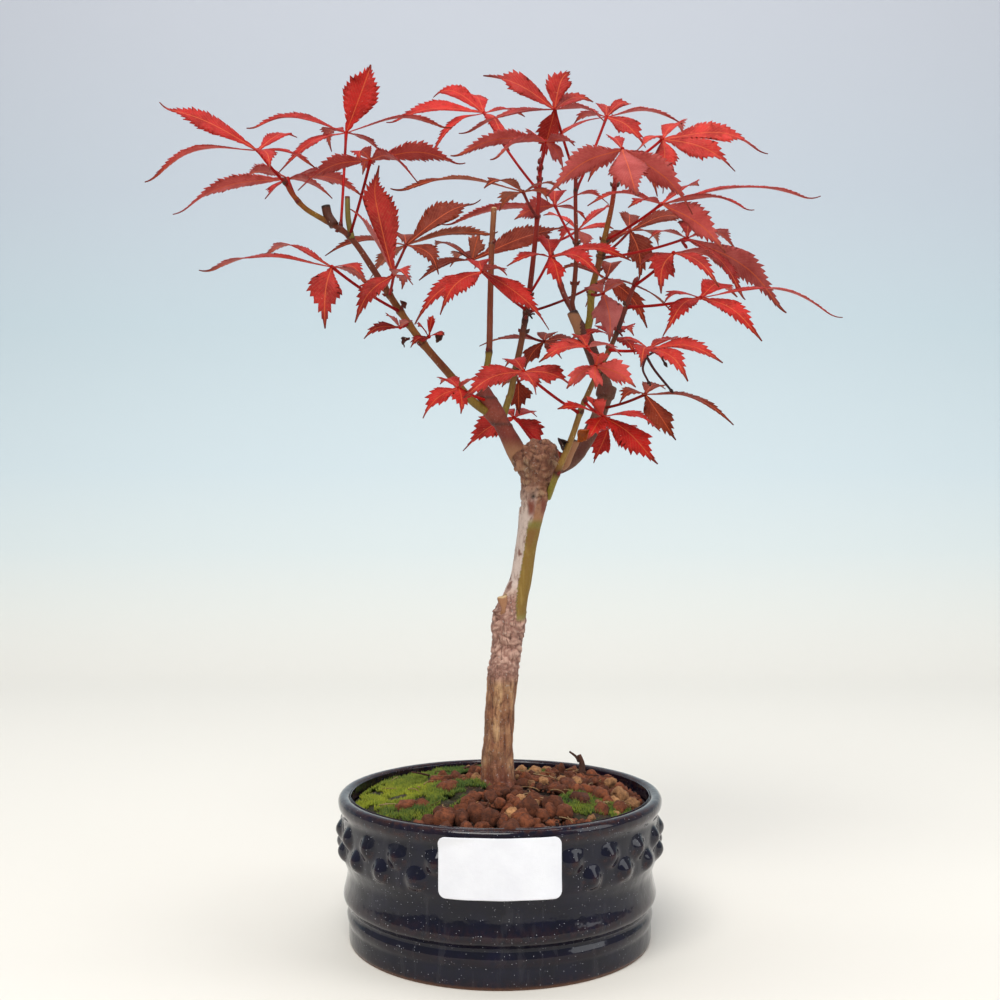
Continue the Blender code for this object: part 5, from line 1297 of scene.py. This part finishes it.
def make_shoot(name, sizes, stuff):
    """One young shoot with its joints, buds, side shoots and cut ends."""
    line = world(STEMS[name])
    path = even_path(line, 0.0006)
    far = lengths(path)
    share = far / far[-1]
    first, last = GIRTHS[name]
    radii = (first + (last - first) * share) * sizes.shoot_girth / 2
    paint = stops(share, SHOOT_TONES[name])
    along, _, _ = frames(path)
    radii = radii * (1 + 0.035 * noise(path, 0.006, 81) + 0.02 * noise(path, 0.002, 83))
    clear = FEET[name] * MM
    joints = [clear + row[1] * (far[-1] - clear) for row in LEAVES if row[0] == name]
    joints += [e * far[-1] for e in EXTRA_JOINTS[name]]
    for at in joints:
        ring = np.exp(-((far - at) / 0.0010) ** 2)
        radii = radii * (1 + 0.20 * ring)
        line_at = np.exp(-((far - at - 0.0006) / 0.00035) ** 2)[:, None] * 0.75
        paint = paint * (1 - line_at) + linear((0.20, 0.10, 0.07)) * line_at
    cut = name == "shoot_pruned"
    tail = soft(share, 0.97, 1.0)
    if not cut:
        radii = radii * (1 - 0.5 * tail)
    skin = Skin()
    skin.tube(path, radii, 22, paint)
    dice = np.random.default_rng(len(name) * 7 + 3)
    for at in joints:
        k = int(np.clip(np.searchsorted(far, at), 0, len(path) - 1))
        out = unit(np.cross(along[k], dice.normal(size=3)))
        for side in (-1, 1):
            way = unit(along[k] * 0.85 + side * out * 0.6)
            long, wide = dice.uniform(0.0016, 0.0026), dice.uniform(0.0006, 0.0009)
            colour = (0.42, 0.13, 0.10) if dice.uniform() < 0.6 else (0.30, 0.17, 0.11)
            add_bud(skin, path[k] + side * out * radii[k] * 0.72, way, long, wide, colour)
    if cut:
        end, way, r = path[-1], along[-1], radii[-1]
        skin.tube(np.array([end - way * 0.0003, end + way * 0.00005, end + way * 0.00035]),
            (r * 1.0, r * 0.98, r * 0.86), 22, linear((0.80, 0.72, 0.55)))
        skin.tube(np.array([end + way * 0.0003, end + way * 0.00045]), (r * 0.28, r * 0.22), 12,
            linear((0.48, 0.34, 0.22)))
    else:
        for side in (-1, 0, 1):
            way = unit(along[-1] + 0.4 * side * np.array((0.8, 0.5, 0.1)))
            add_bud(skin, path[-1] - along[-1] * 0.0006, way, 0.0030 - 0.0006 * abs(side), 0.0009,
                (0.46, 0.13, 0.10))
    for points, girth, colour, end in SIDE_SHOOTS.get(name, ()):
        twig = even_path(world(points), 0.0006)
        grow = np.linspace(girth[0], girth[1], len(twig)) * MM
        tone = np.repeat(linear(colour)[None], len(twig), 0)
        tone[-2:] = linear(end)
        skin.tube(twig, grow * (1 + 0.05 * noise(twig, 0.003, 9)), 16, tone)
        if girth[0] < 1:
            add_bud(skin, twig[-1], unit(twig[-1] - twig[-3]), 0.0024, 0.0007, end)
    for n, (spot, size, colour) in enumerate(SCRAPS.get(name, ())):
        add_scrap(skin, world(spot), size * MM, colour, 11 + n + len(name))
    return skin.make(name + "_wood", stuff, [name])


# --- leaves ---------------------------------------------------------------------------------
def facing(face):
    """Upper side of a lobe: 0 looks up, 1 to the front and -1 to the back."""
    return unit(np.array((0.0, -face, 1.0 - 0.85 * abs(face))))


def lobe_stations(length, sizes):
    """Places along a lobe, three to a tooth, with each one's part in its tooth."""
    count = max(int(round(length * 0.76 / sizes.tooth_pitch)), 6)
    bare = max(int(length * TOOTH_START / 0.0010), 3)
    steps = [(t, 0.0, 0) for t in np.linspace(0, TOOTH_START, bare + 1)[:-1]]
    for n in range(count):
        t0, pitch = TOOTH_START + TOOTH_SPAN * n / count, TOOTH_SPAN / count
        steps += [(t0, -0.55, n), (t0 + 0.45 * pitch, 0.0, n), (t0 + 0.80 * pitch, 0.62, n)]
    tail = max(int(length * 0.10 / 0.0011), 3)
    steps += [(t, 0.0, 0) for t in np.linspace(TOOTH_START + TOOTH_SPAN, 1, tail + 1)]
    return np.array(steps)


def add_lobe(skin, hub, arm, limits, dice, sizes, tint):
    """One toothed lobe: folded along its midrib, wavy at the margin and curling at the tail."""
    reach, length, up = arm["reach"], arm["long"], arm["up"]
    table = lobe_stations(length, sizes)
    t, tooth, number = table[:, 0], table[:, 1], table[:, 2]
    across = unit(np.cross(up, arm["dir"]))
    u = t[:, None]
    spine = 2 * u * (1 - u) * (reach * 0.5 + up * 0.12 * length)[None] + u * u * reach[None]
    tail = np.clip((t - 0.60) / 0.40, 0, 1)
    sway, hook = dice.uniform(-0.045, 0.045), dice.uniform(-0.10, 0.10)
    spine = (spine + across[None] * ((np.sin(np.pi * u) * sway) * length
        + hook * length * (tail ** 2)[:, None]))
    droop = dice.uniform(0.03, 0.12)
    spine[:, 2] += -droop * length * tail ** 2 + 0.5 * droop * length * np.sin(np.pi * t) ** 2
    if length > LONG_LOBE:
        spine[:, 2] += 0.055 * length * np.clip((t - 0.87) / 0.13, 0, 1) ** 2
    along = unit(np.gradient(spine, axis=0))
    side = unit(across[None] - along * (along @ across)[:, None])
    over = np.cross(along, side)
    twist = dice.uniform(-1.3, 1.3) * soft(t, 0.55, 1.0) + dice.uniform(-0.22, 0.22)
    side, over = (side * np.cos(twist)[:, None] + over * np.sin(twist)[:, None],
                  over * np.cos(twist)[:, None] - side * np.sin(twist)[:, None])
    full = np.interp(t, (0, .05, .12, .20, .30, .40, .48, .57, .66, .74, .82, .90, 1.0),
                     (.12, .16, .27, .46, .74, .95, 1.0, .93, .72, .46, .25, .12, .03))
    half = 0.5 * arm["width"] * full * sizes.leaf_breadth
    away = np.maximum(np.linalg.norm(spine, axis=1), 1e-5)
    big = 1.0 + 0.8 * ((number.astype(int) % 3) == 1)
    deep = np.minimum(sizes.tooth_depth * big, 0.45 * half) * tooth
    slide = np.where(tooth > 0, 0.42, 0.0) * sizes.tooth_pitch * big
    fold = dice.uniform(0.12, 0.42) * (1 - 0.5 * soft(t, 0.0, 0.15)) + 0.35 * tail
    phase, wave = dice.uniform(0, 6.28, 2), dice.uniform(0.05, 0.11)
    columns = np.array((-1, -0.62, -0.28, 0, 0.28, 0.62, 1.0))
    points, rib = [], []
    for s in columns:
        cap = 0.92 * away * math.tan(min(limits[0] if s > 0 else limits[1], 2.2) / 2)
        rim = abs(s) == 1
        lateral = s * np.minimum(half + (deep if rim else 0), np.maximum(cap, 0.00025))
        ruffle = wave * half * s * s * np.sin(t * length / 0.0045 + phase[int(s > 0)])
        lift = np.abs(lateral) * np.sin(fold) + ruffle
        spot = hub + spine + side * (lateral * np.cos(fold))[:, None] + over * lift[:, None]
        if rim:
            spot = spot + along * (slide * (half > 0.0008))[:, None]
        points.append(spot)
        rib.append(np.stack([lateral / MM, t * length / MM, t, 0 * t], -1))
    points, rib = np.stack(points, 1).reshape(-1, 3), np.stack(rib, 1).reshape(-1, 4)
    shade = 1 + 0.16 * noise(points, 0.010, dice.integers(1, 90), 2)
    paint = tint[None] * shade[:, None]
    skin.sheet(points, grid(len(t), len(columns))[:, ::-1], BLADE_THICK, paint, rib)


def make_leaf(number, row, sizes, stuff, slot):
    """One palmate leaf: its lobes, the joint they grow from, and the stalk down to the shoot."""
    shoot, share, hub_mm, lobes = row
    hub = world(hub_mm)
    foot = foot_of(shoot, share)
    dice = np.random.default_rng(1000 + number)
    up = facing(sum(lobe[4] for lobe in lobes) / len(lobes))
    east = np.array((1.0, 0, 0))
    north = unit(np.cross(up, east))
    arms = []
    for dx, dy, dz, width, face in lobes:
        reach = np.array((dx, dy, dz)) * MM
        arms.append({"reach": reach, "dir": unit(reach), "long": float(np.linalg.norm(reach)),
            "up": facing(face), "width": width * MM})
    control = (hub + foot) / 2 + np.array((0, 0, -0.06 * np.linalg.norm(hub - foot)))
    arms.append({"reach": None, "dir": unit(control - hub)})
    arms.sort(key=lambda arm: math.atan2(arm["dir"] @ north, arm["dir"] @ east))
    spread = [math.acos(max(-1, min(1, float(arm["dir"] @ arms[(i + 1) % len(arms)]["dir"]))))
        for i, arm in enumerate(arms)]
    skin = Skin()
    shade = dice.uniform(0.82, 1.12)
    # some leaves are painted pinker at random: painted sheen, standing in for the pink sheen of light on
    # their upper sides
    sheen_pink = dice.uniform(0, 1) ** 1.8
    sheen_tint = (np.array((1, 0.85 + 1.2 * sheen_pink, 0.85 + 1.4 * sheen_pink)) if slot == "leaf_red"
        else np.array((1.0, 0.85 + 0.3 * sheen_pink, 0.85 + 0.3 * sheen_pink)))
    leaf_tint = shade * sheen_tint
    for i, arm in enumerate(arms):
        if arm["reach"] is None:
            continue
        tint = leaf_tint * dice.uniform(0.88, 1.1)
        add_lobe(skin, hub, arm, (spread[i], spread[i - 1]), dice, sizes, tint)
    t = np.linspace(0, 1, 26)[:, None]
    stalk = hub * (1 - t) ** 2 + control * 2 * t * (1 - t) + foot * t * t
    girth = (sizes.stalk / 2 * (1 + 0.35 * np.exp(-(t[:, 0] / 0.06) ** 2)
        + 0.75 * np.exp(-((1 - t[:, 0]) / 0.07) ** 2)))
    red = stops(t[:, 0], ((0, (.98, .62, .50)), (.1, (.93, .50, .42)), (.8, (.90, .42, .36)),
        (1, (.75, .34, .28))))
    skin.tube(stalk, girth, 10, red * shade, STALK_RIB)
    normal = arms[0]["up"] if arms[0]["reach"] is not None else up
    knot = hub + np.outer(np.linspace(-0.0009, 0.0009, 7), normal)
    skin.tube(knot, np.array((0.2, 0.62, 0.8, 0.85, 0.8, 0.6, 0.15)) * MM, 10, linear((0.95, 0.66, 0.48)),
        STALK_RIB)
    return skin.make("leaf_%02d_blade" % number, stuff, ["leaf_%02d" % number])


# --- sizes and colours ---------------------------------------------------------------------------
def length_of(name, text, value, low=0.0, high=1.0):
    return bpy.props.FloatProperty(name=name, description=text, default=value, min=low, max=high,
                                   subtype="DISTANCE", unit="LENGTH", precision=5)


def colour_of(name, text, shown):
    return bpy.props.FloatVectorProperty(name=name, description=text, size=3, min=0.0, max=1.0,
                                         default=tuple(float(v) for v in linear(shown)), subtype="COLOR")


class BonsaiPotSizes(bpy.types.PropertyGroup):
    """Sizes of the glazed pot."""
    rim_radius: length_of("Rim radius", "Outside radius of the rim", 0.065)
    lip: length_of("Lip", "Width of the rim's flat lip", 0.005)
    draft: length_of("Draft", "How far the inner wall leans in from the rim to the floor", 0.006)
    stud: length_of("Stud height", "How far a stud stands off the wall", 0.0024)


class BonsaiGroundSizes(bpy.types.PropertyGroup):
    """Sizes of the ground cover."""
    moss_pitch: length_of("Moss pitch", "Distance between neighbouring moss shoots", 0.00095)


class BonsaiTreeSizes(bpy.types.PropertyGroup):
    """Sizes of the wood and the leaves."""
    trunk_girth: length_of("Trunk diameter", "Diameter of the trunk just above the ground", 0.0138)
    shoot_girth: length_of("Shoot diameter", "Diameter that the young shoots are measured against", 0.0031)
    bark_voxel: length_of("Bark detail", "Width of the smallest feature of the old bark", 0.00045)
    stalk: length_of("Leaf stalk", "Diameter of a leaf stalk", 0.00115)
    tooth_pitch: length_of("Tooth pitch", "Distance between teeth of the leaf margin", 0.0019)
    tooth_depth: length_of("Tooth depth", "Depth of a tooth of the leaf margin", 0.00095)
    leaf_breadth: bpy.props.FloatProperty(
        name="Leaf breadth", description="Width of the lobes over their tabled width",
        default=0.85, min=0.3, max=2.0, subtype="FACTOR")


class BonsaiColours(bpy.types.PropertyGroup):
    """Colours of every finish."""
    glaze: colour_of("Glaze", "Main colour of the glaze", (0.036, 0.042, 0.130))
    glaze_deep: colour_of("Deep glaze", "Glaze where it has run thick", (0.028, 0.032, 0.095))
    glaze_thin: colour_of("Thin glaze", "Glaze where it breaks brown over edges", (0.25, 0.13, 0.09))
    paper: colour_of("Label", "Paper of the blank label", (0.95, 0.955, 0.97))
    soil: colour_of("Soil", "Crumbs of the soil", (0.22, 0.14, 0.10))
    moss_bright: colour_of("Moss tips", "Fresh moss", (0.66, 0.68, 0.14))
    moss_dark: colour_of("Moss shade", "Older moss", (0.27, 0.38, 0.11))
    grain: colour_of("Grains", "Red-brown fired clay", (0.47, 0.26, 0.155))
    grain_tan: colour_of("Tan grains", "Ochre fired clay", (0.68, 0.50, 0.34))
    leaf_upper: colour_of("Leaf", "Upper side of a fresh leaf", (0.82, 0.16, 0.13))
    leaf_under: colour_of("Leaf underside", "Underside of a fresh leaf", (0.86, 0.36, 0.33))
    leaf_old: colour_of("Old leaf", "Upper side of an older leaf", (0.62, 0.23, 0.13))
    leaf_old_under: colour_of("Old leaf underside", "Underside of an older leaf", (0.72, 0.40, 0.30))
    leaf_rib: colour_of("Midrib", "Midrib and main veins of a leaf", (0.90, 0.42, 0.24))


GROUPS = (("bonsai_pot", BonsaiPotSizes), ("bonsai_ground", BonsaiGroundSizes),
    ("bonsai_tree", BonsaiTreeSizes), ("bonsai_colours", BonsaiColours))
OLD_LEAVES = {6, 11, 19, 21, 23, 33, 37, 38}


# --- operators ---------------------------------------------------------------------------------
class BONSAI_OT_pot(bpy.types.Operator):
    """Turn and glaze the pot"""
    bl_idname = "bonsai.pot"
    bl_label = "Pot"

    def execute(self, context):
        make_pot(context.scene.bonsai_pot, context.scene.bonsai_colours)
        return {"FINISHED"}


class BONSAI_OT_drain_mesh(bpy.types.Operator):
    """Give the drain hole's mesh its plastic finish"""
    bl_idname = "bonsai.drain_mesh"
    bl_label = "Drain mesh"

    def execute(self, context):
        piece = frame["nodes"]["drain_mesh"]
        piece.data.materials.clear()
        piece.data.materials.append(mesh_finish())
        return {"FINISHED"}


class BONSAI_OT_label(bpy.types.Operator):
    """Stick the blank label on the front of the pot"""
    bl_idname = "bonsai.label"
    bl_label = "Label"

    def execute(self, context):
        make_label(context.scene.bonsai_colours)
        return {"FINISHED"}


class BONSAI_OT_soil(bpy.types.Operator):
    """Fill the pot with crumbly soil"""
    bl_idname = "bonsai.soil"
    bl_label = "Soil"

    def execute(self, context):
        make_soil(context.scene.bonsai_pot, context.scene.bonsai_colours)
        return {"FINISHED"}


class BonsaiSizes:
    """Rim sizes and ground sizes together, as the ground cover needs both."""

    def __init__(self, scene):
        pot, ground = scene.bonsai_pot, scene.bonsai_ground
        self.rim_radius, self.lip, self.draft = pot.rim_radius, pot.lip, pot.draft
        self.moss_pitch = ground.moss_pitch


class BONSAI_OT_moss(bpy.types.Operator):
    """Grow the cushions of moss"""
    bl_idname = "bonsai.moss"
    bl_label = "Moss"

    def execute(self, context):
        stuff, scene = moss_finish(), context.scene
        for seed, patch in enumerate(("moss_left", "moss_trunk", "moss_back", "moss_front"), start=1):
            make_moss(patch, BonsaiSizes(scene), scene.bonsai_colours, stuff, seed)
        return {"FINISHED"}


class BONSAI_OT_gravel(bpy.types.Operator):
    """Strew the fired-clay grains"""
    bl_idname = "bonsai.gravel"
    bl_label = "Clay grains"

    def execute(self, context):
        stuff, scene = painted_finish("akadama", 0.0007, 0.0004, 0.9), context.scene
        for seed, patch in enumerate(("gravel_back", "gravel_front", "gravel_right"), start=11):
            make_gravel(patch, BonsaiSizes(scene), scene.bonsai_colours, stuff, seed)
        return {"FINISHED"}


class BONSAI_OT_litter(bpy.types.Operator):
    """Lay fine roots, twigs and needles on the ground"""
    bl_idname = "bonsai.litter"
    bl_label = "Roots and twigs"

    def execute(self, context):
        make_litter(BonsaiSizes(context.scene))
        return {"FINISHED"}


class BONSAI_OT_trunk(bpy.types.Operator):
    """Model the trunk and its two old limbs"""
    bl_idname = "bonsai.trunk"
    bl_label = "Trunk"

    def execute(self, context):
        make_trunk(context.scene.bonsai_tree)
        return {"FINISHED"}


class BONSAI_OT_shoots(bpy.types.Operator):
    """Grow the young shoots with their buds"""
    bl_idname = "bonsai.shoots"
    bl_label = "Shoots"

    def execute(self, context):
        stuff = shoot_finish()
        for name in SHOOTS:
            make_shoot(name, context.scene.bonsai_tree, stuff)
        return {"FINISHED"}


class BONSAI_OT_leaves(bpy.types.Operator):
    """Hang all the leaves on their stalks"""
    bl_idname = "bonsai.leaves"
    bl_label = "Leaves"

    def execute(self, context):
        colours = context.scene.bonsai_colours
        fresh = leaf_finish("leaf_red", (*colours.leaf_upper,), (*colours.leaf_under,), colours)
        old = leaf_finish("leaf_brown", (*colours.leaf_old,), (*colours.leaf_old_under,), colours)
        for number, row in enumerate(LEAVES, start=1):
            stuff, slot = (old, "leaf_brown") if number in OLD_LEAVES else (fresh, "leaf_red")
            make_leaf(number, row, context.scene.bonsai_tree, stuff, slot)
        return {"FINISHED"}


def softbox(name, place, target, wide, tall, watts, colour):
    lamp = bpy.data.lights.new(name, "AREA")
    lamp.shape, lamp.size, lamp.size_y, lamp.energy, lamp.color = "RECTANGLE", wide, tall, watts, colour
    holder = bpy.data.objects.new(name, lamp)
    holder.location = place
    holder.rotation_euler = (Vector(target) - Vector(place)).to_track_quat("-Z", "Y").to_euler()
    bpy.context.scene.collection.objects.link(holder)


SWEEP_TONES = (  # place on the ramp up the sweep, colour
    (0.02, (0.79, 0.76, 0.69, 1)), (0.05, (0.74, 0.75, 0.70, 1)), (0.10, (0.66, 0.72, 0.71, 1)),
    (0.20, (0.59, 0.68, 0.71, 1)), (0.45, (0.53, 0.63, 0.68, 1)), (0.68, (0.50, 0.56, 0.62, 1)),
)


def stage_finish():
    """Matt paper: cream on the floor, pale blue and then pale grey up the sweep."""
    f = Finish("stage_paper")
    height = f.add("SeparateXYZ", Vector=f.place).outputs["Z"]
    ramp = f.add("ValToRGB", Fac=f.step(height, -0.1, 1.1))
    ramp.color_ramp.elements[0].position, ramp.color_ramp.elements[0].color = 0.0, (0.80, 0.74, 0.64, 1)
    ramp.color_ramp.elements[1].position, ramp.color_ramp.elements[1].color = 1.0, (0.49, 0.51, 0.56, 1)
    for place, tone in SWEEP_TONES:
        ramp.color_ramp.elements.new(place).color = tone
    return f.done(f.surface(ramp.outputs[0], 0.85))


class BONSAI_OT_stage(bpy.types.Operator):
    """Set up the floor, the sweep, the lights and the camera"""
    bl_idname = "bonsai.stage"
    bl_label = "Stage"

    def execute(self, context):
        scene = context.scene
        bend = np.linspace(0, np.pi / 2, 17)
        line = ([(-1.6, 0.0)] + [(SWEEP_START + SWEEP_BEND * math.sin(a), SWEEP_BEND * (1 - math.cos(a)))
            for a in bend])
        line.append((SWEEP_START + SWEEP_BEND, 2.2))
        points = [(x, y, z) for y, z in line for x in (-SWEEP_HALF, SWEEP_HALF)]
        mesh = bpy.data.meshes.new("studio_sweep")
        mesh.from_pydata(points, [], grid(len(line), 2).tolist())
        mesh.shade_smooth()
        mesh.materials.append(stage_finish())
        sweep = bpy.data.objects.new("studio_sweep", mesh)
        scene.collection.objects.link(sweep)
        softbox("key_softbox", (-0.35, -1.05, 1.5), SUBJECT, 1.1, 0.8, 24, (1.0, 0.985, 0.96))
        softbox("fill_softbox", (1.35, -0.55, 0.75), SUBJECT, 0.8, 1.1, 7, (0.96, 0.98, 1.0))
        softbox("sweep_light", (0.0, 0.1, 2.1), (0, 0.9, 0.5), 1.8, 0.5, 16, (0.97, 0.98, 1.0))
        sky = bpy.data.worlds.new("studio")
        sky.use_nodes = True
        sky.node_tree.nodes["Background"].inputs[0].default_value = (0.93, 0.95, 1.0, 1)
        sky.node_tree.nodes["Background"].inputs[1].default_value = 0.42
        scene.world = sky
        scene.view_settings.view_transform = "Standard"
        lens = bpy.data.cameras.new("camera")
        lens.lens, lens.sensor_width, lens.clip_start = CAMERA_LENS, 36.0, 0.01
        camera = bpy.data.objects.new("camera", lens)
        camera.location = CAMERA_PLACE
        camera.rotation_euler = (CAMERA_PITCH, 0, 0)
        scene.collection.objects.link(camera)
        scene.camera = camera
        return {"FINISHED"}


PIECES = (BONSAI_OT_stage, BONSAI_OT_pot, BONSAI_OT_drain_mesh, BONSAI_OT_label, BONSAI_OT_soil,
          BONSAI_OT_moss, BONSAI_OT_gravel, BONSAI_OT_litter, BONSAI_OT_trunk, BONSAI_OT_shoots,
          BONSAI_OT_leaves)


class BONSAI_PT_panel(bpy.types.Panel):
    """Sidebar list of the bonsai's pieces, sizes and colours."""
    bl_idname = "BONSAI_PT_panel"
    bl_label = "Maple Bonsai"
    bl_space_type = "VIEW_3D"
    bl_region_type = "UI"
    bl_category = "Bonsai"

    def draw(self, context):
        for piece in PIECES:
            self.layout.operator(piece.bl_idname, text=piece.bl_label)
        for name, group in GROUPS:
            box = self.layout.box()
            for key in group.__annotations__:
                box.prop(getattr(context.scene, name), key)


CLASSES = (*(group for _, group in GROUPS), *PIECES, BONSAI_PT_panel)


def register():
    for item in CLASSES:
        bpy.utils.register_class(item)
    for name, group in GROUPS:
        setattr(bpy.types.Scene, name, bpy.props.PointerProperty(type=group))


def unregister():
    for name, _ in GROUPS:
        delattr(bpy.types.Scene, name)
    for item in reversed(CLASSES):
        bpy.utils.unregister_class(item)


def main():
    register()
    for piece in PIECES:
        group, name = piece.bl_idname.split(".")
        getattr(getattr(bpy.ops, group), name)()


if __name__ == "__main__":
    main()
